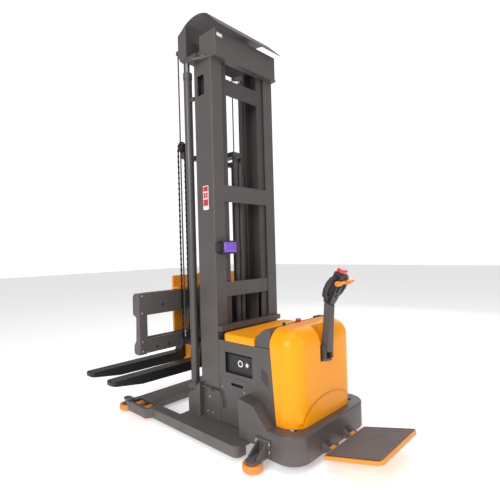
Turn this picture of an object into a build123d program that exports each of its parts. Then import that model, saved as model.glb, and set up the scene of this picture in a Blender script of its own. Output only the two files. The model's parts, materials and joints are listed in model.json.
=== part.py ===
from build123d import *
from math import cos, radians, sin
import os

# A very-narrow-aisle, three-way stacker with a walkie tiller and a fold-down platform.
# Millimetres. +X is the truck's right, +Y is forward (tiller to forks), +Z is up, floor at z = 0.
# Truck stations are measured from the mast's rear face (y = 0) and its centreline (x = 0).
os.makedirs("parts", exist_ok=True)

# ---------------------------------------------------------------- driving dimensions
# chassis
leg_outer_x = 628
leg_inner_x = 530
leg_rear_y = -430
leg_step_y = 700
leg_front_y = 1060
leg_bottom_z = 35
leg_top_z = 120
wheel_box_outer_x = 680
wheel_box_wall = 15
crossbeam_rear_y = 827
base_front_y = 380
load_wheel_radius = 58
load_wheel_width = 88
load_wheel_ys = (785, 935)
axle_radius = 10
running_clearance = 0.05
guide_roller_radius = 75
guide_roller_thickness = 52
guide_roller_low_z = 22
guide_pin_radius = 12
front_guide_xy = (640, 1100)
rear_guide_xy = (630, -590)
# rear skirt and bodywork
skirt_half_width = 510
skirt_rear_y = -887
skirt_bottom_z = 60
skirt_shoulder_z = 262
skirt_corner_radius = 150
skirt_wall = 14
skirt_horn_y = (-490, -340)
skirt_horn_z = (400, 425)
body_half_width = 400
panel_wall = 8
panel_front_y = -6
panel_top_z = 812
seam_low = (-628, 262)
seam_high = (-584, 812)
hood_half_width = 408
hood_rear_y = -818
hood_top_z = 965
hood_corner_radius = 145
hood_top_radius = 132
hood_wall = 6
hood_pocket_half_width = 92
hood_pocket_front_y = -726
hood_pocket_floor_z = 690
lid_y = (-424, -60)
lid_top_z = 872
strip_y = (-584, -428)
shut_gap = 4
# mast
mast_half_width = 400
upright_width = 123
upright_depth = 224
upright_wall = 12
mast_top_z = 3205
mast_foot_z = leg_top_z
inner_upright_x = (205, 340)
inner_upright_y = (22, 202)
inner_flange = 18
inner_web = 14
inner_bottom_z = 140
inner_top_z = 3290
cylinder_xy = (360, 363)
cylinder_radius = 38.5
cylinder_rod_radius = 22
cylinder_z = (360, 3190)
crossbeam_upper_z = (1986, 2132)
crossbeam_lower_z = (1160, 1285)
bottom_plate_z = (878, 921)
top_beam_rear_y = -56
top_beam_half_width = 392
top_beam_z = (3221, 3434)
column_x = 376
chain_anchor_z = 742
chain_pulley_radius = 34
chain_pulley_yz = (465, 2530)
chain_width = 16
chain_depth = 15
# traverse frame, swinging head and forks
frame_y = (550, 660)
frame_half_width = 806
frame_post_width = 75
upper_rail_z = (1010, 1200)
lower_rail_z = (676, 800)
slide_x = (-360, 540)
slide_y = (668, 692)
slide_z = (684, 1330)
swing_axis_xy = (250, 962)
swing_pin_radius = 35
fork_top_z = 450
fork_tip_x = -1000
fork_width = 120
near_fork_y = 700
far_fork_y = 1105
fork_heel_x = 92
fork_heel_depth = 97
# platform
platform_hinge_y = -932
platform_hinge_z = 96
platform_length = 468
platform_half_width = 300
platform_thickness = 26
platform_tilt = 14
platform_pin_radius = 8
mat_thickness = 6
# tiller
tiller_y = -815
tiller_pivot_z = 790
tiller_lean = 5
tiller_pin_radius = 9
# drive unit
drive_y = -600
drive_wheel_radius = 115
drive_wheel_width = 80
drive_plate_z = (330, 345)

# The frame's origin is on the floor under the middle of the whole truck's box.
platform_reach = platform_length * cos(radians(platform_tilt))
platform_reach += platform_thickness * sin(radians(platform_tilt))
rear_end_y = platform_hinge_y - platform_reach
front_end_y = far_fork_y + fork_width
right_end_x = max(frame_half_width, front_guide_xy[0] + guide_roller_radius)
origin_x = -(fork_tip_x + right_end_x) / 2
origin_y = -(rear_end_y + front_end_y) / 2


# ---------------------------------------------------------------- helpers in truck stations
def plan(z):
    """Horizontal sketch plane at height z: local x, y are the truck's x, y."""
    return Plane(origin=(origin_x, origin_y, z), x_dir=(1, 0, 0), z_dir=(0, 0, 1))


def side(x):
    """Fore-and-aft sketch plane at x: local x, y are the truck's y, z, normal to the right."""
    return Plane(origin=(origin_x + x, origin_y, 0), x_dir=(0, 1, 0), z_dir=(1, 0, 0))


def front(y):
    """Cross sketch plane at y: local x, y are the truck's x, z, normal to the rear."""
    return Plane(origin=(origin_x, origin_y + y, 0), x_dir=(1, 0, 0), z_dir=(0, -1, 0))


def block(xs, ys, zs, mode=Mode.ADD):
    """A box between two stations along each axis."""
    low_x, high_x = sorted(xs)
    low_y, high_y = sorted(ys)
    low_z, high_z = sorted(zs)
    centre = ((low_x + high_x) / 2 + origin_x, (low_y + high_y) / 2 + origin_y, (low_z + high_z) / 2)
    with Locations(centre):
        Box(high_x - low_x, high_y - low_y, high_z - low_z, mode=mode)


def rod_x(radius, xs, y, z, mode=Mode.ADD):
    """A round bar along x."""
    middle = (sum(xs) / 2 + origin_x, y + origin_y, z)
    with Locations(Location(middle, (0, 90, 0))):
        Cylinder(radius, abs(xs[1] - xs[0]), mode=mode)


def rod_y(radius, x, ys, z, mode=Mode.ADD):
    """A round bar along y."""
    middle = (x + origin_x, sum(ys) / 2 + origin_y, z)
    with Locations(Location(middle, (90, 0, 0))):
        Cylinder(radius, abs(ys[1] - ys[0]), mode=mode)


def rod_z(radius, x, y, zs, mode=Mode.ADD):
    """A round bar along z."""
    with Locations((x + origin_x, y + origin_y, sum(zs) / 2)):
        Cylinder(radius, abs(zs[1] - zs[0]), mode=mode)


def plate_from(plane, points, amount, mode=Mode.ADD):
    """A plate whose outline joins the points on a sketch plane."""
    with BuildSketch(plane) as outline:
        with BuildLine():
            Polyline(*points, close=True)
        make_face()
    extrude(outline.sketch, amount=amount, mode=mode)


def write(piece, name):
    """Labels one finished sub-part and writes it."""
    piece.part.label = name
    export_step(piece.part, f"parts/{name}.step")


def write_group(pieces, name):
    """Labels and writes separate solids that share one node."""
    group = Compound([solid for piece in pieces for solid in piece.part.solids()])
    group.label = name
    export_step(group, f"parts/{name}.step")


# ---------------------------------------------------------------- chassis
# A leg is one long bar that widens at the front into a box open below, over two wheels.
window_x = (leg_inner_x + wheel_box_wall, wheel_box_outer_x - wheel_box_wall - 14)
window_reach = load_wheel_radius + 18
cavity_y = (load_wheel_ys[0] - window_reach, load_wheel_ys[1] + window_reach)
leg_corner_radius = 50
step_radius = 22


def leg(hand):
    """One outrigger leg; hand is -1 on the left and +1 on the right."""
    with BuildPart() as bar:
        plate_from(
            plan(leg_bottom_z),
            [
                (hand * leg_inner_x, leg_rear_y),
                (hand * leg_outer_x, leg_rear_y),
                (hand * leg_outer_x, leg_step_y - step_radius),
                (hand * wheel_box_outer_x, leg_step_y + step_radius),
                (hand * wheel_box_outer_x, leg_front_y),
                (hand * leg_inner_x, leg_front_y),
            ],
            leg_top_z - leg_bottom_z,
        )
        upright_edges = bar.edges().filter_by(Axis.Z)
        outer = upright_edges.sort_by(Axis.X, reverse=hand > 0)
        rear_corner = outer.filter_by(lambda e: e.center().Y < origin_y)
        fillet(rear_corner[0], leg_corner_radius)
        cavity_x = (hand * (leg_inner_x + wheel_box_wall), hand * (wheel_box_outer_x - wheel_box_wall))
        block(cavity_x, cavity_y, (leg_bottom_z, leg_top_z - 6), mode=Mode.SUBTRACT)
        nose = (cavity_y[1] + 8, leg_front_y)
        nose_x = (hand * (front_guide_xy[0] - guide_roller_radius - 6), hand * wheel_box_outer_x)
        block(nose_x, nose, (leg_bottom_z, guide_roller_low_z + guide_roller_thickness + 2),
              mode=Mode.SUBTRACT)
        for wheel_y in load_wheel_ys:
            reach = load_wheel_radius + 6
            window_y = (wheel_y - reach, wheel_y + reach)
            window = (hand * window_x[0], hand * window_x[1])
            block(window, window_y, (leg_top_z - 6, leg_top_z), mode=Mode.SUBTRACT)
            ends = (hand * leg_inner_x, hand * wheel_box_outer_x)
            rod_x(axle_radius, ends, wheel_y, load_wheel_radius, mode=Mode.SUBTRACT)
    return bar


def load_axles(hand):
    """The two fixed axles that cross one wheel box."""
    with BuildPart() as axles:
        for wheel_y in load_wheel_ys:
            ends = (hand * leg_inner_x, hand * wheel_box_outer_x)
            rod_x(axle_radius, ends, wheel_y, load_wheel_radius)
    return axles


def load_wheel(hand, wheel_y):
    """A crowned polyurethane load wheel on its hub."""
    middle_x = hand * (leg_inner_x + wheel_box_outer_x) / 2
    half = load_wheel_width / 2
    with BuildPart() as wheel:
        rod_x(load_wheel_radius, (middle_x - half, middle_x + half), wheel_y, load_wheel_radius)
        fillet(wheel.edges().filter_by(GeomType.CIRCLE), 5)
        hub = (middle_x - half, middle_x + half)
        rod_x(axle_radius + running_clearance, hub, wheel_y, load_wheel_radius, mode=Mode.SUBTRACT)
    return wheel


for hand, hand_name in ((-1, "left"), (1, "right")):
    write_group([leg(hand), load_axles(hand)], f"leg_{hand_name}")
    for wheel_y, place in zip(load_wheel_ys, ("rear", "front")):
        write(load_wheel(hand, wheel_y), f"load_wheel_{hand_name}_{place}")

with BuildPart() as front_crossbeam:
    block((-leg_inner_x, leg_inner_x), (crossbeam_rear_y, leg_front_y), (leg_bottom_z, leg_top_z))
    fillet(front_crossbeam.edges().filter_by(Axis.X), 4)
write(front_crossbeam, "front_crossbeam")

with BuildPart() as base_plate:
    block((-leg_inner_x, leg_inner_x), (leg_rear_y, base_front_y), (leg_bottom_z, leg_top_z))
    block((-leg_inner_x, leg_inner_x), (leg_rear_y, base_front_y - 16), (leg_bottom_z, leg_top_z - 22),
          mode=Mode.SUBTRACT)
write(base_plate, "base_plate")

# The drive frame rises from the base plate and carries the steering ring.
drive_frame_half = 386
drive_plate_y = (-790, leg_rear_y)
drive_corner_radius = 135
steer_bore_radius = 78
with BuildPart() as drive_frame:
    block((-drive_frame_half, drive_frame_half), drive_plate_y, drive_plate_z)
    fillet(drive_frame.edges().filter_by(Axis.Z).group_by(Axis.Y)[0], drive_corner_radius)
    block((-drive_frame_half, drive_frame_half), (leg_rear_y - 12, leg_rear_y),
          (leg_bottom_z, drive_plate_z[0]))
    for hand in (-1, 1):
        block((hand * (drive_frame_half - 12), hand * drive_frame_half),
              (drive_plate_y[0] + drive_corner_radius, drive_plate_y[1]),
              (leg_top_z + 60, drive_plate_z[0]))
    rod_z(steer_bore_radius + running_clearance, 0, drive_y, drive_plate_z, mode=Mode.SUBTRACT)
write(drive_frame, "drive_frame")

# ---------------------------------------------------------------- drive unit
motor_radius = 88
steer_flange_radius = 125
fork_gap = 0.5
gearcase_x = (drive_wheel_width / 2 + 6, drive_wheel_width / 2 + 44)
drive_head_z = (2 * drive_wheel_radius + 14, drive_plate_z[0] - fork_gap)
drive_axle_radius = 16
with BuildPart() as gearbox:
    rod_z(steer_flange_radius, 0, drive_y, drive_head_z)
    rod_z(steer_bore_radius, 0, drive_y, (drive_head_z[1], drive_plate_z[1] + 14))
    plate_from(side(gearcase_x[0]), [
        (drive_y - 62, drive_head_z[0] + 10), (drive_y + 62, drive_head_z[0] + 10),
        (drive_y + 62, drive_wheel_radius), (drive_y + 40, drive_wheel_radius - 62),
        (drive_y - 40, drive_wheel_radius - 62), (drive_y - 62, drive_wheel_radius)],
        gearcase_x[1] - gearcase_x[0])
    rod_x(drive_axle_radius, (-drive_wheel_width / 2, gearcase_x[0]), drive_y, drive_wheel_radius)
write(gearbox, "gearbox")

with BuildPart() as drive_motor:
    motor_z = (drive_plate_z[1] + 14, drive_plate_z[1] + 214)
    rod_z(motor_radius, 0, drive_y, motor_z)
    for rib in range(7):
        rib_z = motor_z[0] + 34 + 20 * rib
        rod_z(motor_radius + 4, 0, drive_y, (rib_z, rib_z + 8))
    rod_z(60, 0, drive_y, (motor_z[1], motor_z[1] + 46))
write(drive_motor, "drive_motor")

with BuildPart() as drive_wheel:
    half = drive_wheel_width / 2
    rod_x(drive_wheel_radius, (-half, half), drive_y, drive_wheel_radius)
    fillet(drive_wheel.edges().filter_by(GeomType.CIRCLE), 7)
    rod_x(drive_axle_radius + running_clearance, (-half, half), drive_y, drive_wheel_radius,
          mode=Mode.SUBTRACT)
write(drive_wheel, "drive_wheel")

# ---------------------------------------------------------------- guide rollers
guide_high_z = guide_roller_low_z + guide_roller_thickness
guide_bracket_thickness = 16


def guide_roller(x, y):
    """A flat polyurethane roller that turns on an upright pin against the aisle rail."""
    with BuildPart() as roller:
        rod_z(guide_roller_radius, x, y, (guide_roller_low_z, guide_high_z))
        fillet(roller.edges().filter_by(GeomType.CIRCLE), 6)
        rod_z(guide_pin_radius + running_clearance, x, y, (guide_roller_low_z, guide_high_z),
              mode=Mode.SUBTRACT)
    return roller


def guide_bracket_front(hand):
    """A tongue bolted on top of the leg's nose, with a spacer and the roller's pin under it."""
    x, y = hand * front_guide_xy[0], front_guide_xy[1]
    tongue_z = (leg_top_z, leg_top_z + 12)
    with BuildPart() as bracket:
        block((x - 36, x + 36), (leg_front_y - 44, y), tongue_z)
        rod_z(36, x, y, tongue_z)
        rod_z(24, x, y, (guide_high_z + 1, tongue_z[0]))
        rod_z(guide_pin_radius, x, y, (guide_roller_low_z - 2, guide_high_z + 1))
        rod_z(18, x, y, (tongue_z[1], tongue_z[1] + 7))
    return bracket


def guide_bracket_rear(hand):
    """A gusseted shelf bolted to the side of the skirt."""
    x, y = hand * rear_guide_xy[0], rear_guide_xy[1]
    wall = hand * skirt_half_width
    shelf_z = (guide_high_z + 1, guide_high_z + 1 + guide_bracket_thickness)
    with BuildPart() as bracket:
        block((wall, x), (y - 52, y + 52), shelf_z)
        rod_z(52, x, y, shelf_z)
        block((wall, wall + hand * 12), (y - 70, y + 70), (shelf_z[0], shelf_z[0] + 122))
        for gusset_y in (y - 46, y + 34):
            plate_from(front(gusset_y + 12), [
                (wall + hand * 12, shelf_z[1]), (x, shelf_z[1]), (x, shelf_z[1] + 14),
                (wall + hand * 12, shelf_z[1] + 92)], 12)
        rod_z(guide_pin_radius, x, y, (guide_roller_low_z - 2, shelf_z[0]))
        rod_z(20, x, y, (shelf_z[1], shelf_z[1] + 8))
    return bracket


for hand, hand_name in ((-1, "left"), (1, "right")):
    write(guide_roller(hand * front_guide_xy[0], front_guide_xy[1]), f"guide_roller_front_{hand_name}")
    write(guide_roller(hand * rear_guide_xy[0], rear_guide_xy[1]), f"guide_roller_rear_{hand_name}")
write_group([guide_bracket_front(-1), guide_bracket_front(1), guide_bracket_rear(-1), guide_bracket_rear(1)],
            "guide_roller_brackets")

# ---------------------------------------------------------------- skirt and body panels
skirt_inner = skirt_half_width - skirt_wall
horn_back_y, horn_front_y = skirt_horn_y
shoulder_inner_half = body_half_width + 2
with BuildPart() as rear_skirt:
    with BuildSketch(plan(skirt_bottom_z)) as skirt_outline:
        with BuildLine():
            Polyline(
                (-skirt_half_width, horn_front_y), (skirt_half_width, horn_front_y),
                (skirt_half_width, skirt_rear_y), (-skirt_half_width, skirt_rear_y), close=True)
        make_face()
        rear_corners = skirt_outline.vertices().group_by(Axis.Y)[0]
        fillet(rear_corners, skirt_corner_radius)
    extrude(skirt_outline.sketch, amount=skirt_shoulder_z - skirt_bottom_z)
    for hand in (-1, 1):
        plate_from(side(hand * skirt_half_width), [
            (horn_front_y, skirt_bottom_z), (horn_front_y, skirt_horn_z[1]),
            (horn_back_y, skirt_horn_z[0]), (horn_back_y - 128, skirt_shoulder_z),
            (horn_back_y - 128, skirt_bottom_z)], -hand * (skirt_half_width - shoulder_inner_half))
    fillet(rear_skirt.edges().group_by(Axis.Y)[0].filter_by(Axis.X).sort_by(Axis.Z)[-1], 12)
    with BuildSketch(plan(skirt_bottom_z)) as skirt_inside:
        with BuildLine():
            Polyline(
                (-skirt_inner, horn_front_y), (skirt_inner, horn_front_y),
                (skirt_inner, skirt_rear_y + skirt_wall), (-skirt_inner, skirt_rear_y + skirt_wall),
                close=True)
        make_face()
        fillet(skirt_inside.vertices().group_by(Axis.Y)[0], skirt_corner_radius - skirt_wall)
    extrude(skirt_inside.sketch, amount=skirt_shoulder_z - skirt_bottom_z - skirt_wall,
            mode=Mode.SUBTRACT)
    block((-shoulder_inner_half, shoulder_inner_half), (hood_rear_y + 24, horn_front_y),
          (skirt_shoulder_z - skirt_wall, skirt_shoulder_z), mode=Mode.SUBTRACT)
    for hand in (-1, 1):
        block((hand * (shoulder_inner_half + 6), hand * leg_outer_x), (horn_back_y - 20, horn_front_y),
              (skirt_bottom_z, leg_top_z + 4), mode=Mode.SUBTRACT)
        block((hand * drive_frame_half, hand * (skirt_inner + 1)), (leg_rear_y - 12, horn_front_y),
              (skirt_bottom_z, leg_top_z + 4), mode=Mode.SUBTRACT)
write(rear_skirt, "rear_skirt")

# Side panels: one plate a side with the battery window, the service door and slanted vents.
window_y = (-394, -86)
window_z = (552, 722)
door_y = (-322, -24)
door_z = (150, 520)
door_groove = 3
vent_count = 5
panel_bottom_z = leg_top_z + 6


def side_panel(hand):
    """A flat side panel; the battery window is open and the door is outlined by a groove."""
    outer = hand * body_half_width
    inner = hand * (body_half_width - panel_wall)
    with BuildPart() as panel:
        plate_from(side(outer), [
            (panel_front_y, panel_bottom_z), (panel_front_y, panel_top_z),
            (seam_high[0] + shut_gap, panel_top_z), (seam_low[0] + shut_gap, seam_low[1] + shut_gap),
            (leg_rear_y - 16, seam_low[1] + shut_gap), (leg_rear_y - 16, panel_bottom_z)],
            -hand * panel_wall)
        block((inner, outer), window_y, window_z, mode=Mode.SUBTRACT)
        groove_depth = (outer, outer - hand * 3)
        for groove_y in door_y:
            block(groove_depth, (groove_y, groove_y + door_groove), door_z, mode=Mode.SUBTRACT)
        for groove_z in door_z:
            block(groove_depth, (door_y[0], door_y[1] + door_groove), (groove_z, groove_z + door_groove),
                  mode=Mode.SUBTRACT)
        with BuildSketch(side(outer)) as handle_slot:
            with Locations((-218, 465)):
                SlotOverall(140, 24)
        extrude(handle_slot.sketch, amount=-hand * panel_wall, mode=Mode.SUBTRACT)
        with BuildSketch(side(outer)) as vents:
            for vent in range(vent_count):
                with Locations((-522, 548 + 20 * vent)):
                    SlotOverall(92, 7, rotation=38)
        extrude(vents.sketch, amount=-hand * panel_wall, mode=Mode.SUBTRACT)
    return panel


write(side_panel(-1), "side_panel_left")
write(side_panel(1), "side_panel_right")

with BuildPart() as battery:
    block((-372, 372), (-398, -42), (leg_top_z + 1, 700))
    fillet(battery.edges().filter_by(Axis.Z), 6)
    for cell_y in (-352, -302, -252, -202, -152, -102):
        for cell_x in (-240, -80, 80, 240):
            block((cell_x - 68, cell_x + 68), (cell_y - 21, cell_y + 21), (700, 716))
write(battery, "battery")

with BuildPart() as pump_unit:
    block((-366, -150), (-570, -452), (drive_plate_z[1] + 1, 560))
    fillet(pump_unit.edges().filter_by(Axis.Z), 20)
    rod_z(58, 250, -520, (drive_plate_z[1] + 1, 620))
    block((-150, -104), (-540, -482), (400, 480))
    block((190, 310), (-575, -465), (620, 690))
write_group([pump_unit], "pump_unit")

# The rear hood is one thick-walled moulding, open below and in front, with a pocket for the tiller.
hood_seam = [(seam_low[0], seam_low[1] + shut_gap), (seam_high[0], 845), (-584, 1000), (0, 1000), (0, 200),
             (seam_low[0], 200)]


def hood_solid(inset):
    """The hood's outline, raised and rounded, smaller by an inset on every side but the bottom."""
    half = hood_half_width - inset
    rear = hood_rear_y + inset
    with BuildPart() as form:
        with BuildSketch(plan(skirt_shoulder_z + 0.5)) as base:
            with BuildLine():
                Polyline((-half, rear), (half, rear), (half, -300), (-half, -300), close=True)
            make_face()
            fillet(base.vertices().group_by(Axis.Y)[0], hood_corner_radius - inset)
        extrude(base.sketch, amount=hood_top_z - inset - skirt_shoulder_z - 0.5)
        top_edges = form.faces().sort_by(Axis.Z)[-1].edges()
        rounded = top_edges.sort_by(Axis.Y)[:-1]
        fillet(rounded, hood_top_radius - inset)
    return form


hood_outside = hood_solid(0).part
hood_inside = hood_solid(hood_wall).part
with BuildPart() as pocket_liner:
    block((-hood_pocket_half_width - hood_wall, hood_pocket_half_width + hood_wall),
          (hood_rear_y, hood_pocket_front_y + hood_wall), (hood_pocket_floor_z - hood_wall, hood_top_z))
    add(hood_outside, mode=Mode.INTERSECT)
with BuildPart() as rear_hood:
    add(hood_outside)
    add(hood_inside, mode=Mode.SUBTRACT)
    add(pocket_liner.part)
    block((-hood_pocket_half_width, hood_pocket_half_width), (hood_rear_y - 60, hood_pocket_front_y),
          (hood_pocket_floor_z, hood_top_z + 50), mode=Mode.SUBTRACT)
    plate_from(side(-600), hood_seam, 1200, mode=Mode.SUBTRACT)
write(rear_hood, "rear_hood")

# ---------------------------------------------------------------- battery lid and instrument strip
lid_wall = 5
lid_skirt_z = panel_top_z + 3
with BuildPart() as battery_lid:
    block((-hood_half_width, hood_half_width), lid_y, (lid_skirt_z, lid_top_z))
    front_corners = battery_lid.edges().filter_by(Axis.Z).group_by(Axis.Y)[-1]
    fillet(front_corners, 60)
    fillet(battery_lid.faces().sort_by(Axis.Z)[-1].edges(), 14)
    block((-hood_half_width + 62, hood_half_width - 62), (lid_y[0] + lid_wall, lid_y[1] - 62),
          (lid_skirt_z, lid_top_z - lid_wall - 14), mode=Mode.SUBTRACT)
    block((-150, 150), (-250, -170), (lid_top_z - 12, lid_top_z), mode=Mode.SUBTRACT)
write(battery_lid, "battery_lid")

strip_back_z = 952
strip_front_z = 884
key_x = -190
stop_x = 0
control_y = -552
strip_half = hood_half_width - 14


flat_width = 64
stop_collar_z = strip_back_z + 6
with BuildPart() as instrument_body:
    plate_from(side(-strip_half), [
        (strip_y[0] + shut_gap, panel_top_z + 3), (strip_y[0] + shut_gap, strip_back_z),
        (strip_y[0] + flat_width, strip_back_z), (strip_y[1], strip_front_z), (strip_y[1], panel_top_z + 3)],
        2 * strip_half)
    fillet(instrument_body.edges().filter_by(Axis.X).group_by(Axis.Z)[-1], 8)
    block((-strip_half + 8, strip_half - 8), (strip_y[0] + shut_gap + 8, strip_y[1] - 8),
          (panel_top_z + 3, strip_front_z - 8), mode=Mode.SUBTRACT)
    rod_z(30, stop_x, control_y, (strip_front_z - 10, stop_collar_z))
    rod_z(11.05, stop_x, control_y, (strip_front_z - 10, stop_collar_z), mode=Mode.SUBTRACT)
    rod_z(16, key_x, control_y, (strip_front_z - 10, stop_collar_z - 4))
    rod_z(6.05, key_x, control_y, (strip_front_z - 10, stop_collar_z - 4), mode=Mode.SUBTRACT)
with BuildPart() as status_display:
    block((238, 338), (control_y - 22, control_y + 24), (strip_back_z + 0.5, strip_back_z + 16))
    fillet(status_display.edges().filter_by(Axis.Z), 6)
write_group([instrument_body, status_display], "instrument_strip")

stop_travel = 6
with BuildPart() as stop_button:
    rod_z(11, stop_x, control_y, (strip_front_z, stop_collar_z + stop_travel + 1))
    rod_z(24, stop_x, control_y, (stop_collar_z + stop_travel + 1, stop_collar_z + stop_travel + 21))
    fillet(stop_button.edges().group_by(Axis.Z)[-1], 8)
write(stop_button, "stop_button")

with BuildPart() as key:
    rod_z(6, key_x, control_y, (strip_front_z, stop_collar_z - 2))
    block((key_x - 2, key_x + 2), (control_y - 14, control_y + 14), (stop_collar_z - 2, stop_collar_z + 24))
    fillet(key.edges().filter_by(Axis.X).group_by(Axis.Z)[-1], 8)
write(key, "key")

# ---------------------------------------------------------------- platform
deck_plane = Plane(
    origin=(origin_x, origin_y + platform_hinge_y, platform_hinge_z), x_dir=(-1, 0, 0),
    z_dir=(0, sin(radians(platform_tilt)), cos(radians(platform_tilt))))
knuckle_radius = 15
knuckle_x = (118, 172)
lug_x = (176, 204)
deck_start = 26
deck_rise = -6
deck_rim = 6
deck_sheet = 4
with BuildPart() as platform_deck:
    with BuildSketch(deck_plane.offset(deck_rise - platform_thickness / 2)) as deck_outline:
        with Locations((0, (deck_start + platform_length) / 2)):
            Rectangle(2 * platform_half_width, platform_length - deck_start)
        fillet(deck_outline.vertices().group_by(Axis.Y)[0 if deck_outline.sketch.center().Y > 0 else -1], 48)
    extrude(deck_outline.sketch, amount=platform_thickness)
    with BuildSketch(deck_plane.offset(deck_rise - platform_thickness / 2)) as deck_hollow:
        with Locations((0, (deck_start + platform_length) / 2)):
            Rectangle(2 * (platform_half_width - deck_rim), platform_length - deck_start - 2 * deck_rim)
        fillet(deck_hollow.vertices(), 40)
    extrude(deck_hollow.sketch, amount=platform_thickness - deck_sheet, mode=Mode.SUBTRACT)
    for hand in (-1, 1):
        rod_x(knuckle_radius, (hand * knuckle_x[0], hand * knuckle_x[1]), platform_hinge_y,
              platform_hinge_z)
        plate_from(side(hand * knuckle_x[0]), [
            (platform_hinge_y - 6, platform_hinge_z + 12), (platform_hinge_y - 6, platform_hinge_z - 14),
            (platform_hinge_y - 52, platform_hinge_z - 10), (platform_hinge_y - 52, platform_hinge_z + 10)],
            hand * (knuckle_x[1] - knuckle_x[0]))
        rod_x(platform_pin_radius + running_clearance, (hand * knuckle_x[0], hand * knuckle_x[1]),
              platform_hinge_y, platform_hinge_z, mode=Mode.SUBTRACT)
write(platform_deck, "platform_deck")

mat_margin = 14
with BuildPart() as platform_mat:
    with BuildSketch(deck_plane.offset(deck_rise + platform_thickness / 2)) as mat_outline:
        with Locations((0, (deck_start + platform_length) / 2)):
            Rectangle(2 * (platform_half_width - mat_margin), platform_length - deck_start - 2 * mat_margin)
        fillet(mat_outline.vertices(), 30)
    extrude(mat_outline.sketch, amount=mat_thickness)
write(platform_mat, "platform_mat")


def platform_lug(x):
    """An ear welded to the back of the skirt, holding the hinge pin."""
    half = (lug_x[1] - lug_x[0]) / 2
    with BuildPart() as lug:
        plate_from(side(x - half), [
            (skirt_rear_y, platform_hinge_z - 26), (skirt_rear_y, platform_hinge_z + 40),
            (platform_hinge_y, platform_hinge_z + 16), (platform_hinge_y - 14, platform_hinge_z + 8),
            (platform_hinge_y - 14, platform_hinge_z - 8), (platform_hinge_y, platform_hinge_z - 16)],
            2 * half)
        rod_x(platform_pin_radius, (x - half, x + half), platform_hinge_y, platform_hinge_z,
              mode=Mode.SUBTRACT)
    return lug


platform_pin_x = (58, 212)


def platform_pin(hand):
    """A short hinge pin through one pair of ears and the knuckle between them."""
    with BuildPart() as pin:
        rod_x(platform_pin_radius, (hand * platform_pin_x[0], hand * platform_pin_x[1]),
              platform_hinge_y, platform_hinge_z)
    return pin


lug_middle = sum(lug_x) / 2
inner_lug_middle = knuckle_x[0] - (lug_x[0] - knuckle_x[1]) - (lug_x[1] - lug_x[0]) / 2
lugs = [platform_lug(hand * x) for hand in (-1, 1) for x in (lug_middle, inner_lug_middle)]
write_group(lugs + [platform_pin(-1), platform_pin(1)], "platform_hinge")

# ---------------------------------------------------------------- tiller
arm_half = 34
bracket_floor_z = hood_pocket_floor_z + 2
with BuildPart() as tiller_bracket:
    rod_z(56, 0, tiller_y + 20, (bracket_floor_z, bracket_floor_z + 16))
    for hand in (-1, 1):
        plate_from(side(hand * (arm_half + 1)), [
            (tiller_y - 24, bracket_floor_z + 16), (tiller_y + 52, bracket_floor_z + 16),
            (tiller_y + 24, tiller_pivot_z + 16), (tiller_y - 18, tiller_pivot_z + 16)], hand * 12)
    rod_x(tiller_pin_radius, (-arm_half - 13, arm_half + 13), tiller_y, tiller_pivot_z)
write(tiller_bracket, "tiller_bracket")

arm_plane = Plane(
    origin=(origin_x, origin_y + tiller_y, tiller_pivot_z), x_dir=(1, 0, 0),
    z_dir=(0, -cos(radians(tiller_lean)), -sin(radians(tiller_lean))))
arm_length = 346
# The head leans back further than the arm: a hub with a closed loop handle on each side.
head_lean = 27
hub_half = 46
hub_length = 262
hub_depth = (-34, 36)
loop_outer_half = 150
loop_depth = (-15, 15)
arm_top_y = tiller_y - arm_length * sin(radians(tiller_lean))
arm_top_z = tiller_pivot_z + arm_length * cos(radians(tiller_lean))
head_plane = Plane(
    origin=(origin_x, origin_y + arm_top_y, arm_top_z), x_dir=(1, 0, 0),
    z_dir=(0, -cos(radians(head_lean)), -sin(radians(head_lean))))
arm_top = arm_length + 40
neck_half = 24
with BuildPart() as tiller_arm:
    with BuildSketch(arm_plane.offset(-30)) as arm_outline:
        with BuildLine():
            Polyline((-arm_half, -26), (arm_half, -26), (arm_half, 40), (neck_half + 4, 150),
                     (neck_half, arm_top), (-neck_half, arm_top), (-neck_half - 4, 150),
                     (-arm_half, 40), close=True)
        make_face()
    extrude(arm_outline.sketch, amount=74)
    fillet(tiller_arm.edges().filter_by(lambda e: e.length > 90), 12)
    head_seat = Plane(origin=head_plane.origin, x_dir=(1, 0, 0), z_dir=head_plane.y_dir)
    split(bisect_by=head_seat, keep=Keep.BOTTOM)
    rod_x(tiller_pin_radius + running_clearance, (-arm_half, arm_half), tiller_y, tiller_pivot_z,
          mode=Mode.SUBTRACT)
write(tiller_arm, "tiller_arm")

rocker_v = 196
rocker_shaft_radius = 9
belly_bore = 17
belly_travel = 6
lift_v = 132
horn_v = 78
horn_radius = 11


def head_point(across, along, out):
    """A point given across the head, along its axis and out of its rear face."""
    return head_plane.from_local_coords((across, along, out))


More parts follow.
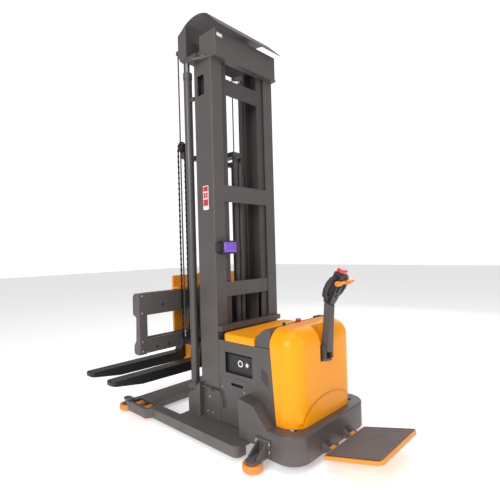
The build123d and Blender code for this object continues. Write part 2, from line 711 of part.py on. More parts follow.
with BuildPart() as tiller_head:
    with BuildSketch(head_plane.offset(loop_depth[0])) as loops:
        with BuildLine():
            Polyline((-26, 0), (26, 0), (70, 30), (128, 74), (loop_outer_half, 128), (146, 190), (112, 232),
                     (60, 240), (-60, 240), (-112, 232), (-146, 190), (-loop_outer_half, 128),
                     (-128, 74), (-70, 30), close=True)
        make_face()
        for hand in (-1, 1):
            with BuildLine():
                Polyline((hand * 56, 70), (hand * 102, 88), (hand * 120, 130), (hand * 116, 180),
                         (hand * 98, 204), (hand * 56, 208), close=True)
            make_face(mode=Mode.SUBTRACT)
    extrude(loops.sketch, amount=loop_depth[1] - loop_depth[0])
    loop_levels = tiller_head.edges().group_by(Axis(head_plane.origin, head_plane.z_dir))
    fillet(loop_levels[0] + loop_levels[-1], 9)
    with BuildSketch(head_plane.offset(hub_depth[0])) as hub:
        with BuildLine():
            Polyline((-28, 0), (28, 0), (hub_half, 60), (hub_half, hub_length), (-hub_half, hub_length),
                     (-hub_half, 60), close=True)
        make_face()
        fillet(hub.vertices().group_by(Axis.Y)[-1], 12)
    extrude(hub.sketch, amount=hub_depth[1] - hub_depth[0])
    with BuildSketch(head_plane.offset(20)) as rocker_gap:
        with Locations((0, rocker_v)):
            Rectangle(2 * hub_half + 2, 46)
    extrude(rocker_gap.sketch, amount=30, mode=Mode.SUBTRACT)
    with BuildSketch(head_plane.offset(hub_depth[1] - 12)) as thumb_pockets:
        with Locations((0, lift_v)):
            Rectangle(44, 52)
        with Locations((0, horn_v)):
            Circle(horn_radius + running_clearance)
    extrude(thumb_pockets.sketch, amount=20, mode=Mode.SUBTRACT)
    belly_base = Plane(
        origin=head_point(0, hub_length, 0), x_dir=(1, 0, 0), z_dir=head_plane.y_dir)
    with BuildSketch(belly_base.offset(-24)) as belly_bore_outline:
        Circle(belly_bore + running_clearance)
    extrude(belly_bore_outline.sketch, amount=30, mode=Mode.SUBTRACT)
write(tiller_head, "tiller_head")

with BuildPart() as reverse_button:
    with BuildSketch(belly_base.offset(-14)) as button_stem:
        Circle(belly_bore)
    extrude(button_stem.sketch, amount=14 + belly_travel + 1)
    with BuildSketch(belly_base.offset(belly_travel + 1)) as button_cap:
        RectangleRounded(84, 62, 24)
    extrude(button_cap.sketch, amount=26)
    fillet(reverse_button.faces().sort_by(Axis(belly_base.origin, belly_base.z_dir))[-1].edges(), 10)
write(reverse_button, "reverse_button")

with BuildPart() as speed_rocker:
    for hand in (-1, 1):
        with BuildSketch(side(hand * (hub_half + 2))) as wing:
            with BuildLine():
                wing_middle = head_point(0, rocker_v, 40)
                middle_y, middle_z = wing_middle.Y - origin_y, wing_middle.Z
                CenterArc((middle_y, middle_z), 19, 0, 360)
            make_face()
            with BuildLine():
                Polyline((middle_y - 8, middle_z + 12), (middle_y - 52, middle_z + 22),
                         (middle_y - 58, middle_z + 8), (middle_y - 14, middle_z - 14), close=True)
            make_face()
        extrude(wing.sketch, amount=hand * 30)
    shaft_centre = Location((origin_x, wing_middle.Y, wing_middle.Z), (0, 90, 0))
    with Locations(shaft_centre):
        Cylinder(rocker_shaft_radius, 2 * (hub_half + 4))
write(speed_rocker, "speed_rocker")

with BuildPart() as lift_rocker:
    with BuildSketch(head_plane.offset(hub_depth[1] - 9)) as lift_key:
        with Locations((0, lift_v)):
            RectangleRounded(36, 44, 5)
    extrude(lift_key.sketch, amount=16)
write(lift_rocker, "lift_rocker")

with BuildPart() as horn_button:
    with BuildSketch(head_plane.offset(hub_depth[1] - 8)) as horn_outline:
        with Locations((0, horn_v)):
            Circle(horn_radius)
    extrude(horn_outline.sketch, amount=14)
    fillet(horn_button.faces().sort_by(Axis(head_plane.origin, head_plane.z_dir))[-1].edges(), 3)
write(horn_button, "horn_button")

# ---------------------------------------------------------------- outer mast
upright_inner_x = mast_half_width - upright_width
port_y = (92, 180)
port_z = (2915, 3090)


def mast_upright(hand):
    """A deep channel that opens towards the middle, with its foot and a roller port near the top."""
    outer = hand * mast_half_width
    with BuildPart() as upright:
        block((hand * upright_inner_x, outer), (0, upright_depth), (mast_foot_z, mast_top_z))
        block((hand * upright_inner_x, outer - hand * upright_wall),
              (upright_wall, upright_depth - upright_wall), (mast_foot_z, mast_top_z), mode=Mode.SUBTRACT)
        fillet(upright.edges().filter_by(Axis.Z).group_by(Axis.X)[0 if hand < 0 else -1], 6)
        block((outer - hand * upright_wall, outer), port_y, port_z, mode=Mode.SUBTRACT)
        plate_from(side(outer), [
            (upright_depth - 20, mast_foot_z), (upright_depth - 20, mast_foot_z + 300),
            (upright_depth + 20, mast_foot_z + 258), (upright_depth + 40, mast_foot_z + 228),
            (upright_depth + 140, mast_foot_z + 160), (upright_depth + 140, mast_foot_z)], hand * 44)
        block((hand * (mast_half_width - 86), outer), (cylinder_xy[1] - 56, cylinder_xy[1] + 56),
              (mast_foot_z + 190, cylinder_z[0]))
        block((outer - hand * 20, outer + hand * 30), (cylinder_xy[1] - 56, upright_depth + 140),
              (mast_foot_z, mast_foot_z + 190))
        block((hand * (mast_half_width - 86), outer), (cylinder_xy[1] - 56, cylinder_xy[1] - 36),
              (mast_foot_z, mast_foot_z + 190))
    return upright


write_group([mast_upright(-1), mast_upright(1)], "mast_uprights")

beam_plate = 12
with BuildPart() as mast_top_beam:
    beam_half = top_beam_half_width
    block((-beam_half, beam_half), (top_beam_rear_y, 150), top_beam_z)
    fillet(mast_top_beam.edges().filter_by(Axis.Z).group_by(Axis.Y)[0], 8)
    block((-beam_half + beam_plate, beam_half - beam_plate), (top_beam_rear_y + beam_plate, 151), top_beam_z,
          mode=Mode.SUBTRACT)
flange_reach = 477
with BuildPart() as mast_flange:
    block((-mast_half_width, mast_half_width), (top_beam_rear_y, upright_wall + 2),
          (mast_top_z, top_beam_z[0]))
    for hand in (-1, 1):
        with BuildSketch(plan(mast_top_z)) as ear:
            with BuildLine():
                Polyline((hand * (mast_half_width - upright_wall), -20), (hand * mast_half_width, -50))
                Spline((hand * mast_half_width, -50), (hand * 416, 40), (hand * 452, 120),
                       (hand * flange_reach, 186), (hand * 468, 224), (hand * 436, 238))
                Polyline((hand * 436, 238), (hand * (mast_half_width - upright_wall), 238),
                         (hand * (mast_half_width - upright_wall), -20))
            make_face()
        extrude(ear.sketch, amount=top_beam_z[0] - mast_top_z)
write_group([mast_top_beam, mast_flange], "mast_top_beam")

hose_gap_x = (176, upright_inner_x)
with BuildPart() as crossbeam_upper:
    block((-upright_inner_x, upright_inner_x), (0, upright_wall), crossbeam_upper_z)
with BuildPart() as crossbeam_lower:
    block((-upright_inner_x, hose_gap_x[0]), (0, upright_wall), crossbeam_lower_z)
    block(hose_gap_x, (upright_wall - 3, upright_wall), crossbeam_lower_z)
with BuildPart() as bottom_plate:
    block((-391, 391), (-44, 0), bottom_plate_z)
    block((-upright_inner_x, upright_inner_x), (0, upright_wall), (bottom_plate_z[0] - 60, bottom_plate_z[1]))
write_group([crossbeam_upper, crossbeam_lower, bottom_plate], "mast_crossbeams")


def lift_cylinder(hand):
    """A side lift cylinder: tube, foot boss, gland and the bore for its rod."""
    x, y = hand * cylinder_xy[0], cylinder_xy[1]
    low, high = cylinder_z
    with BuildPart() as cylinder:
        rod_z(cylinder_radius, x, y, (low, high - 60))
        rod_z(cylinder_radius + 3.5, x, y, (high - 60, high))
        fillet(cylinder.edges().group_by(Axis.Z)[-1], 4)
        rod_z(cylinder_rod_radius + running_clearance, x, y, (low + 40, high), mode=Mode.SUBTRACT)
        block((x - 12, x + 12), (y - cylinder_radius - 52, y - cylinder_radius + 5), (high - 270, high - 240))
    return cylinder


def lift_rod(hand):
    """The chromed rod that pushes up the inner mast."""
    with BuildPart() as rod:
        rod_z(cylinder_rod_radius, hand * cylinder_xy[0], cylinder_xy[1], (cylinder_z[0] + 60, inner_top_z))
    return rod


write_group([lift_cylinder(-1), lift_cylinder(1)], "lift_cylinders")
write_group([lift_rod(-1), lift_rod(1)], "lift_rods")

# ---------------------------------------------------------------- inner mast


inner_web_x = 282
inner_cap_x = (200, 376)
inner_cap_thickness = 14
anchor_arm_z = (chain_anchor_z - 42, chain_anchor_z - 2)
anchor_arm_y = (407.5, 421)
anchor_arm_joint_x = 270


def inner_upright(hand):
    """The welded plates of one I-section upright that slides inside the outer channel."""
    near, far = hand * inner_upright_x[0], hand * inner_upright_x[1]
    rear_y, front_y = inner_upright_y
    body_z = (inner_bottom_z, inner_top_z)
    web_x = (hand * inner_web_x - inner_web / 2, hand * inner_web_x + inner_web / 2)
    cap_x = (hand * inner_cap_x[0], hand * inner_cap_x[1])
    plates = [
        ((near, far), (rear_y, rear_y + inner_flange), body_z),
        ((near, far), (front_y - inner_flange, front_y), body_z),
        (web_x, (rear_y + inner_flange, front_y - inner_flange), body_z),
        (cap_x, inner_upright_y, (inner_top_z, inner_top_z + inner_cap_thickness)),
        ((near, hand * anchor_arm_joint_x), (front_y, anchor_arm_y[1]), anchor_arm_z),
        ((hand * anchor_arm_joint_x, hand * (column_x + 10)), anchor_arm_y, anchor_arm_z)]
    solids = []
    for xs, ys, zs in plates:
        with BuildPart() as plate:
            block(xs, ys, zs)
        solids.append(plate)
    return solids


with BuildPart() as inner_tie_upper:
    block((-inner_upright_x[0], inner_upright_x[0]), (24, 36), (2940, 3080))
with BuildPart() as inner_tie_lower:
    block((-inner_upright_x[0], inner_upright_x[0]), (24, 36), (300, 420))
    rod_z(60, 0, 100, (300, 330))
    block((-60, 60), (36, 100), (300, 330))
write_group(inner_upright(-1) + inner_upright(1) + [inner_tie_upper, inner_tie_lower], "inner_mast_frame")

cover_half = mast_half_width
cover_plate = 6
hose_x = column_x - 23
sheave_radius = 30
sheave_yz = (462, 3400)
sheave_half = 9
sheave_pin = 8
cover_side_y = (323, 444)
cover_low_z = 3304
cover_rear = (-118, 3444)
with BuildPart() as inner_top_cover:
    with BuildSketch(side(-cover_half)) as cover_side:
        with BuildLine():
            Polyline(cover_rear, (30, 3588))
            RadiusArc((30, 3588), (300, 3618), 340)
            Polyline((300, 3618), (cover_side_y[1], 3548), (cover_side_y[1], 3548 - cover_plate - 1),
                     (298, 3618 - cover_plate - 1))
            RadiusArc((298, 3618 - cover_plate - 1), (33, 3588 - cover_plate), -334)
            Polyline((33, 3588 - cover_plate), (cover_rear[0] + 2, cover_rear[1] - cover_plate), cover_rear)
        make_face()
    extrude(cover_side.sketch, amount=2 * cover_half)
    for hand in (-1, 1):
        plate_from(side(hand * cover_half), [
            (cover_side_y[0] + 12, cover_low_z), (cover_side_y[0], cover_low_z + 14),
            (cover_side_y[0], 3612), (cover_side_y[1], 3545), (cover_side_y[1], 3380),
            (cover_side_y[1] - 26, cover_low_z)], -hand * 10)
    block((-cover_half + 10, cover_half - 10), (cover_side_y[0], cover_side_y[0] + 10), (3304, 3480))
    for hand in (-1, 1):
        block((hand * 205, hand * 376), (inner_upright_y[0] + 20, cover_side_y[0] + 10), (3304, 3318))
        block((hand * 330, hand * 395), (inner_upright_y[1], cover_side_y[1] - 40), (inner_top_z, 3312))
        rod_x(sheave_pin, (hand * (cover_half - 10), hand * (hose_x - sheave_half - 6)), *sheave_yz)
        block((hand * (cover_half - 10), hand * cover_half), (cover_side_y[1] - 30, sheave_yz[0] + 16),
              (sheave_yz[1] - 18, sheave_yz[1] + 18))
write(inner_top_cover, "inner_top_cover")

# ---------------------------------------------------------------- free lift, chains and hoses
def pulley(x, yz, radius, half, bore):
    """A grooved pulley about a cross axis."""
    with BuildPart() as wheel:
        rod_x(radius, (x - half, x + half), *yz)
        rod_x(radius + 7, (x - half, x - half + 3), *yz)
        rod_x(radius + 7, (x + half - 3, x + half), *yz)
        rod_x(bore + running_clearance, (x - half, x + half), *yz, mode=Mode.SUBTRACT)
    return wheel


def fall(x, y, zs, width, depth):
    """One straight fall of chain or hose, as the space that it holds."""
    with BuildPart() as strand:
        block((x - width / 2, x + width / 2), (y - depth / 2, y + depth / 2), zs)
    return strand


free_cylinder_x = (-30, 40)
free_cylinder_y = 120
free_cylinder_radius = 30
free_rod_radius = 18
free_cylinder_z = (330, 2380)
with BuildPart() as free_lift_cylinder:
    for x in free_cylinder_x:
        radius = free_cylinder_radius if x < 0 else free_cylinder_radius - 8
        rod_z(radius, x, free_cylinder_y, free_cylinder_z)
    rod_z(free_cylinder_radius + 4, free_cylinder_x[0], free_cylinder_y,
          (free_cylinder_z[1] - 50, free_cylinder_z[1]))
    block((free_cylinder_x[0], free_cylinder_x[1]), (free_cylinder_y - 14, free_cylinder_y + 14),
          (free_cylinder_z[0], free_cylinder_z[0] + 60))
    rod_z(free_rod_radius + running_clearance, free_cylinder_x[0], free_cylinder_y,
          (free_cylinder_z[0] + 80, free_cylinder_z[1]), mode=Mode.SUBTRACT)
write(free_lift_cylinder, "free_lift_cylinder")

pulley_y, pulley_z = chain_pulley_yz
pulley_half = 11
crosshead_z = (pulley_z - 100, pulley_z - 58)
with BuildPart() as crosshead:
    rod_z(free_rod_radius, free_cylinder_x[0], free_cylinder_y, (free_cylinder_z[0] + 120, crosshead_z[0]))
    block((-70, 30), (free_cylinder_y - 30, pulley_y + 20), crosshead_z)
    block((-column_x + 24, column_x - 24), (pulley_y - 24, pulley_y + 24), crosshead_z)
    for hand in (-1, 1):
        block((hand * (column_x - 30), hand * (column_x - 16)), (pulley_y - 24, pulley_y + 24),
              (crosshead_z[0], pulley_z + 30))
        rod_x(sheave_pin, (hand * (column_x - 16), hand * (column_x + pulley_half + 3)), pulley_y, pulley_z)
write(crosshead, "crosshead")

chain_pulleys = [pulley(hand * column_x, chain_pulley_yz, chain_pulley_radius, pulley_half, sheave_pin)
                 for hand in (-1, 1)]
write_group(chain_pulleys, "chain_pulleys")
hose_sheaves = [pulley(hand * hose_x, sheave_yz, sheave_radius, sheave_half, sheave_pin)
                for hand in (-1, 1)]
write_group(hose_sheaves, "hose_sheaves")

carriage_z = (640, 1240)
hose_foot_z = 760
chain_gap = 1
chain_offset = chain_pulley_radius + 7 + chain_gap + chain_depth / 2
chain_falls = []
for hand in (-1, 1):
    for reach in (-1, 1):
        chain_falls.append(fall(hand * column_x, pulley_y + reach * chain_offset,
                                (chain_anchor_z, pulley_z), chain_width, chain_depth))
write_group(chain_falls, "lift_chains")

hose_radius = 7
hose_reach = sheave_radius + 9 + hose_radius
hose_falls = []
for hand in (-1, 1):
    for reach, low_z in ((hose_reach, chain_anchor_z + 2), (-hose_reach, hose_foot_z)):
        with BuildPart() as hose_fall:
            rod_z(hose_radius, hand * hose_x, sheave_yz[0] + reach, (low_z, sheave_yz[1]))
        hose_falls.append(hose_fall)
write_group(hose_falls, "mast_hoses")

# ---------------------------------------------------------------- display
display_x = (-354, -176)
display_z = (1530, 1645)
display_y = (-44, -14)
with BuildPart() as mast_display:
    block(display_x, display_y, display_z)
    fillet(mast_display.edges().filter_by(Axis.Y), 8)
    block((display_x[0] - 46, display_x[0] + 30), (-14, 0), (1545, 1630))
    block((display_x[0] - 46, display_x[0]), (-34, -14), (1552, 1622))
write(mast_display, "mast_display")

# ---------------------------------------------------------------- mast carriage and traverse frame
carriage_half = 186
carriage_plate = 14
carriage_roller_radius = 62
carriage_roller_y = 112
# The chain anchor bar climbs past the hose falls, so it is notched round them.
hose_notch_x = (hose_x - hose_radius - 3, hose_x + hose_radius + 3)
hose_notch_y = sheave_yz[0] + hose_reach + hose_radius + 3
with BuildPart() as mast_carriage:
    for hand in (-1, 1):
        block((hand * carriage_half, hand * (carriage_half - carriage_plate)), (54, 500), carriage_z)
        for roller_z in (carriage_z[0] + 80, carriage_z[1] - 80):
            rod_x(carriage_roller_radius, (hand * carriage_half, hand * 262), carriage_roller_y, roller_z)
    block((-carriage_half, carriage_half), (500, frame_y[0]), (carriage_z[0] + 20, carriage_z[0] + 170))
    block((-carriage_half, carriage_half), (500, frame_y[0]), (carriage_z[1] - 190, carriage_z[1] - 40))
    block((-300, 300), (512, frame_y[0]), (carriage_z[0] + 170, carriage_z[1] - 190))
    block((-column_x - 14, column_x + 14), (512, 528), (chain_anchor_z - 60, chain_anchor_z - 2))
    for hand in (-1, 1):
        block((hand * hose_notch_x[0], hand * hose_notch_x[1]), (512, hose_notch_y),
              (chain_anchor_z - 60, chain_anchor_z - 2), mode=Mode.SUBTRACT)
write(mast_carriage, "mast_carriage")

lobe_y = frame_y[1]
web_y = 616
post_profile = [
    (frame_y[0], lower_rail_z[0] + 16), (frame_y[0] + 20, 664), (lobe_y - 24, 664), (lobe_y - 6, 690),
    (lobe_y - 10, 742), (web_y, 790), (web_y - 8, 990), (web_y + 20, 1006), (lobe_y, 1010),
    (lobe_y, 1170), (lobe_y - 24, upper_rail_z[1]), (frame_y[0], upper_rail_z[1])]
slot_half = 16
slot_depth = 26
rail_hole_radius = 14
traverse = []
for hand in (-1, 1):
    with BuildPart() as frame_post:
        plate_from(side(hand * frame_half_width), post_profile, -hand * frame_post_width)
    traverse.append(frame_post)
rail_half = frame_half_width - frame_post_width
for rail_z, hole_z, holes in ((upper_rail_z, 1084, (567,)), (lower_rail_z, 717, (634, 506))):
    with BuildPart() as rail:
        block((-rail_half, rail_half), (frame_y[0], lobe_y - 8), rail_z)
        middle_y = (frame_y[0] + lobe_y - 8) / 2
        block((-rail_half, rail_half), (middle_y - slot_half, middle_y + slot_half),
              (rail_z[1] - slot_depth, rail_z[1]), mode=Mode.SUBTRACT)
        for hole_x in holes:
            for hand in (-1, 1):
                rod_y(rail_hole_radius, hand * hole_x, (frame_y[0], frame_y[0] + 20), hole_z,
                      mode=Mode.SUBTRACT)
    traverse.append(rail)
write_group(traverse, "traverse_frame")

# ---------------------------------------------------------------- head slide and swinging head
arm_disc_radius = 84
arm_neck = (170, 330)
swing_x, swing_y = swing_axis_xy
lower_arm_z = (690, 750)
upper_arm_z = (1250, 1310)
with BuildPart() as head_slide:
    block(slide_x, slide_y, slide_z)
    for post_x in (-160, 30):
        block((post_x, post_x + 120), (slide_y[0], slide_y[1]), (upper_rail_z[0] - 190, upper_rail_z[0] - 30),
              mode=Mode.SUBTRACT)
    middle_y = (frame_y[0] + lobe_y - 8) / 2
    block(slide_x, (middle_y - slot_half + 1.5, slide_y[1]), (upper_rail_z[1] + 4, upper_rail_z[1] + 22))
    for tongue_x in (slide_x[0] + 40, slide_x[1] - 120):
        block((tongue_x, tongue_x + 80), (middle_y - slot_half + 1.5, middle_y + slot_half - 1.5),
              (upper_rail_z[1] - 24, upper_rail_z[1] + 5))
    for arm_z in (lower_arm_z, upper_arm_z):
        block(arm_neck, (slide_y[0], swing_y), arm_z)
        rod_z(arm_disc_radius, swing_x, swing_y, arm_z)
        rod_z(swing_pin_radius + running_clearance, swing_x, swing_y, arm_z, mode=Mode.SUBTRACT)
write(head_slide, "head_slide")

swing_tube_radius = 58
carrier_x = (fork_heel_x + 2, fork_heel_x + 34)
carrier_low_z = 340
carrier_y = (near_fork_y - 12, far_fork_y + fork_width)
with BuildPart() as swing_head:
    rod_z(swing_pin_radius, swing_x, swing_y, (carrier_low_z + 60, upper_arm_z[1] + 12))
    rod_z(swing_tube_radius, swing_x, swing_y, (lower_arm_z[1] + 1, upper_arm_z[0] - 1))
    rod_z(swing_tube_radius, swing_x, swing_y, (carrier_low_z, lower_arm_z[0] - 1))
    rod_z(50, swing_x, swing_y, (upper_arm_z[1] + 1, upper_arm_z[1] + 14))
    block(carrier_x, carrier_y, (carrier_low_z, 655))
    block(carrier_x, (swing_y - 24, carrier_y[1]), (655, 1120))
    block((carrier_x[1], swing_x), (swing_y - 40, swing_y + 40), (780, 1120))
    block((carrier_x[1], swing_x), (swing_y - 40, swing_y + 40), (carrier_low_z, 655))
write(swing_head, "swing_head")


def fork_tine(low_y):
    """A forged fork: a shank on the carrier and a blade that tapers to its tip."""
    with BuildPart() as fork:
        plate_from(front(low_y + fork_width), [
            (fork_heel_x, fork_top_z - fork_heel_depth + 30),
            (fork_heel_x - 34, fork_top_z - fork_heel_depth),
            (-700, fork_top_z - 86), (fork_tip_x + 30, fork_top_z - 44), (fork_tip_x, fork_top_z - 34),
            (fork_tip_x, fork_top_z - 8), (fork_tip_x + 22, fork_top_z), (fork_heel_x - 64, fork_top_z),
            (fork_heel_x - 50, fork_top_z + 12), (fork_heel_x - 46, 636), (fork_heel_x, 650)], fork_width)
        tip_corners = fork.edges().filter_by(Axis.Z).group_by(Axis.X)[0]
        fillet(tip_corners, 40)
    return fork


write(fork_tine(near_fork_y), "fork_near")
write(fork_tine(far_fork_y), "fork_far")
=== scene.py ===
# %% [markdown]
# # A three-way stacker truck, dressed over its CAD frame
# The frame holds every rigid part of the truck in metres, already in place. This lesson
# gives each part its finish, and adds or replaces the pieces whose real detail is finer
# than a CAD solid: chains, rollers, mats, bolts, pipes and plates.

# %% Load the frame
import json
import bpy
import numpy as np
from mathutils import Matrix, Vector


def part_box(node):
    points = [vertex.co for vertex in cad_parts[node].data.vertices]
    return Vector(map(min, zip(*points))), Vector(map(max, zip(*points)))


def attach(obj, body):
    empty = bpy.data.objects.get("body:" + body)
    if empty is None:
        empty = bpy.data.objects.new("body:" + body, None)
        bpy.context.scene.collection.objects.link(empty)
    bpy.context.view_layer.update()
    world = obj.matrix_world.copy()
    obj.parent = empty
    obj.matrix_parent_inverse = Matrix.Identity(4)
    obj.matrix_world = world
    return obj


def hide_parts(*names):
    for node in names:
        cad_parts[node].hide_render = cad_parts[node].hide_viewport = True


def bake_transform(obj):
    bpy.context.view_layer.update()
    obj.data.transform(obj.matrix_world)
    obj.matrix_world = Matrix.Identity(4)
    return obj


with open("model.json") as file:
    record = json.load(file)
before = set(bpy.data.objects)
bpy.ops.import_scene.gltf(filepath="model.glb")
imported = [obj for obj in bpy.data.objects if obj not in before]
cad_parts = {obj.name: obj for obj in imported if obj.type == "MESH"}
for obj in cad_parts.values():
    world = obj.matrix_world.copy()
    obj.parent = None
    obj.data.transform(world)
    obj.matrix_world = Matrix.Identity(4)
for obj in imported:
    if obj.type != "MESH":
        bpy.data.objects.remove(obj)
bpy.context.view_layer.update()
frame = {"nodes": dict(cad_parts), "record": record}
nodes = frame["nodes"]

# %% [markdown]
# ## Where things are
# The truck's own stations start at the middle of the mast's rear face. The hood's rear face
# is 818 mm behind that, so its box in the frame fixes the stations for the whole lesson.

# %% Stations in millimetres to frame metres
hood_low, hood_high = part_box("rear_hood")
station = np.array([(hood_low.x + hood_high.x) / 2, hood_low.y + 0.818, 0.0])


def at(x, y, z):
    """A point given in millimetres from the mast's rear face, as frame metres."""
    return station + np.array([x, y, z]) / 1000.0


print("station zero", station)

# %% [markdown]
# ## Camera
# The truck is seen from behind its left corner at chest height. Pitch is almost level, so
# the mast's edges stay upright, and the small roll leans the view as a hand-held camera does.

# %% Camera
yaw, pitch, roll = np.radians([43.365, 0.029, -1.546])
forward = np.array([np.cos(yaw) * np.cos(pitch), np.sin(yaw) * np.cos(pitch), np.sin(pitch)])
level = np.array([np.sin(yaw), -np.cos(yaw), 0.0])
upward = np.cross(level, forward)
camera_x = level * np.cos(roll) + upward * np.sin(roll)
camera_y = upward * np.cos(roll) - level * np.sin(roll)
turn = Matrix([list(row) for row in np.column_stack([camera_x, camera_y, -forward])])
camera = bpy.data.objects.new("camera", bpy.data.cameras.new("camera"))
camera.data.lens = 28.14
camera.data.sensor_width = 36.0
camera.matrix_world = Matrix.Translation(Vector(at(-2603, -2484, 1557))) @ turn.to_4x4()
bpy.context.scene.collection.objects.link(camera)
bpy.context.scene.camera = camera
print("camera at", camera.matrix_world.translation)

# %% [markdown]
# ## Floor and light
# A plain pale floor under a large soft key, a broad fill from the operator's side and a
# rim light from the forks' side. Large lamps give satin paint long, soft gradients.

# %% Floor
floor_mesh = bpy.data.meshes.new("studio_floor")
half = 30.0
floor_mesh.from_pydata([(-half, -half, 0), (half, -half, 0), (half, half, 0), (-half, half, 0)], [],
                       [(0, 1, 2, 3)])
floor = bpy.data.objects.new("studio_floor", floor_mesh)
bpy.context.scene.collection.objects.link(floor)
floor_finish = bpy.data.materials.new("studio_white")
floor_finish.use_nodes = True
floor_finish.node_tree.nodes["Principled BSDF"].inputs["Base Color"].default_value = (0.93, 0.93, 0.93, 1)
floor_finish.node_tree.nodes["Principled BSDF"].inputs["Roughness"].default_value = 0.75
floor_finish.node_tree.nodes["Principled BSDF"].inputs["Emission Color"].default_value = (1, 1, 1, 1)
floor_finish.node_tree.nodes["Principled BSDF"].inputs["Emission Strength"].default_value = 0.38
floor.data.materials.append(floor_finish)


# %% Lamps
def softbox(name, place, aim, size, power, tint=(1.0, 1.0, 1.0)):
    """A square area lamp at place, turned so that its face looks at aim."""
    lamp = bpy.data.objects.new(name, bpy.data.lights.new(name, "AREA"))
    lamp.data.size = size
    lamp.data.energy = power
    lamp.data.color = tint
    lamp.location = place
    lamp.rotation_euler = (Vector(aim) - Vector(place)).to_track_quat("-Z", "Y").to_euler()
    bpy.context.scene.collection.objects.link(lamp)
    return lamp


softbox("key_light", (-6.8, -2.2, 4.0), (0, -0.2, 1.5), 3.6, 400)
softbox("rear_light", (1.5, -7.5, 3.4), (0, -0.5, 1.0), 4.0, 105)
softbox("far_light", (6.5, 1.0, 3.6), (0, 0, 1.4), 4.0, 70)
softbox("top_light", (-0.5, -1.0, 8.0), (0, 0, 0), 5.0, 170)
world = bpy.data.worlds.new("studio_air")
world.use_nodes = True
air = world.node_tree
air.nodes["Background"].inputs["Color"].default_value = (1, 1, 1, 1)
air.nodes["Background"].inputs["Strength"].default_value = 0.42
seen = air.nodes.new("ShaderNodeBackground")
seen.inputs["Color"].default_value = (1, 1, 1, 1)
seen.inputs["Strength"].default_value = 1.1
path_kind = air.nodes.new("ShaderNodeLightPath")
either = air.nodes.new("ShaderNodeMixShader")
air.links.new(path_kind.outputs["Is Camera Ray"], either.inputs["Fac"])
air.links.new(air.nodes["Background"].outputs["Background"], either.inputs[1])
air.links.new(seen.outputs["Background"], either.inputs[2])
air.links.new(either.outputs["Shader"], air.nodes["World Output"].inputs["Surface"])
bpy.context.scene.world = world
bpy.context.scene.view_settings.view_transform = "Standard"

# %% [markdown]
# ## Shared surface effects
# Paint, plastic and rubber all wear at their edges, gather dust near the floor and carry a
# fine grain. Each effect is one node group with its own sockets, placed in every finish with
# its own values. Edges are found by comparing the true normal with a rounded one.


# %% Node group helpers
def new_group(name, inputs, outputs):
    """A shader node group with named float inputs (name, default) and float outputs."""
    group = bpy.data.node_groups.new(name, "ShaderNodeTree")
    for label, value in inputs:
        group.interface.new_socket(label, in_out="INPUT",
                                   socket_type="NodeSocketFloat").default_value = value
    for label in outputs:
        group.interface.new_socket(label, in_out="OUTPUT", socket_type="NodeSocketFloat")
    return group, group.nodes.new("NodeGroupInput"), group.nodes.new("NodeGroupOutput")


def maths(tree, kind, first, second=None, clamp=False):
    """One Math node; each operand is a socket or a number. Returns its output socket."""
    node = tree.nodes.new("ShaderNodeMath")
    node.operation = kind
    node.use_clamp = clamp
    for index, operand in enumerate((first, second)):
        if operand is None:
            continue
        if isinstance(operand, (int, float)):
            node.inputs[index].default_value = operand
        else:
            tree.links.new(operand, node.inputs[index])
    return node.outputs[0]


def noise(tree, scale, detail=4.0, rough=0.55):
    """Noise over Object coordinates. scale is a socket or a number of cells per metre."""
    place = tree.nodes.new("ShaderNodeTexCoord")
    node = tree.nodes.new("ShaderNodeTexNoise")
    node.inputs["Detail"].default_value = detail
    node.inputs["Roughness"].default_value = rough
    tree.links.new(place.outputs["Object"], node.inputs["Vector"])
    if isinstance(scale, (int, float)):
        node.inputs["Scale"].default_value = scale
    else:
        tree.links.new(scale, node.inputs["Scale"])
    return node.outputs["Fac"]


# %% Edge wear group
wear_group, wear_in, wear_out = new_group("edge_wear",
                                          [("Width", 0.004), ("Amount", 0.5), ("Breakup", 60.0)], ["Mask"])
rounded = wear_group.nodes.new("ShaderNodeBevel")
rounded.samples = 4
wear_group.links.new(wear_in.outputs["Width"], rounded.inputs["Radius"])
true_normal = wear_group.nodes.new("ShaderNodeNewGeometry")
facing = wear_group.nodes.new("ShaderNodeVectorMath")
facing.operation = "DOT_PRODUCT"
wear_group.links.new(rounded.outputs["Normal"], facing.inputs[0])
wear_group.links.new(true_normal.outputs["Normal"], facing.inputs[1])
turned_away = maths(wear_group, "SUBTRACT", 1.0, facing.outputs["Value"], clamp=True)
edge = maths(wear_group, "MULTIPLY", turned_away, 5.0, clamp=True)
patchy = maths(wear_group, "SUBTRACT", noise(wear_group, wear_in.outputs["Breakup"]), 0.42, clamp=True)
patchy = maths(wear_group, "MULTIPLY", patchy, 5.0, clamp=True)
worn = maths(wear_group, "MULTIPLY", edge, patchy)
wear_group.links.new(maths(wear_group, "MULTIPLY", worn, wear_in.outputs["Amount"]),
                     wear_out.inputs["Mask"])

# %% Grain group
grain_group, grain_in, grain_out = new_group("fine_grain", [("Scale", 900.0), ("Mottle", 6.0)],
                                             ["Height", "Cloud"])
grain_group.links.new(noise(grain_group, grain_in.outputs["Scale"], 2.0), grain_out.inputs["Height"])
grain_group.links.new(noise(grain_group, grain_in.outputs["Mottle"], 5.0), grain_out.inputs["Cloud"])

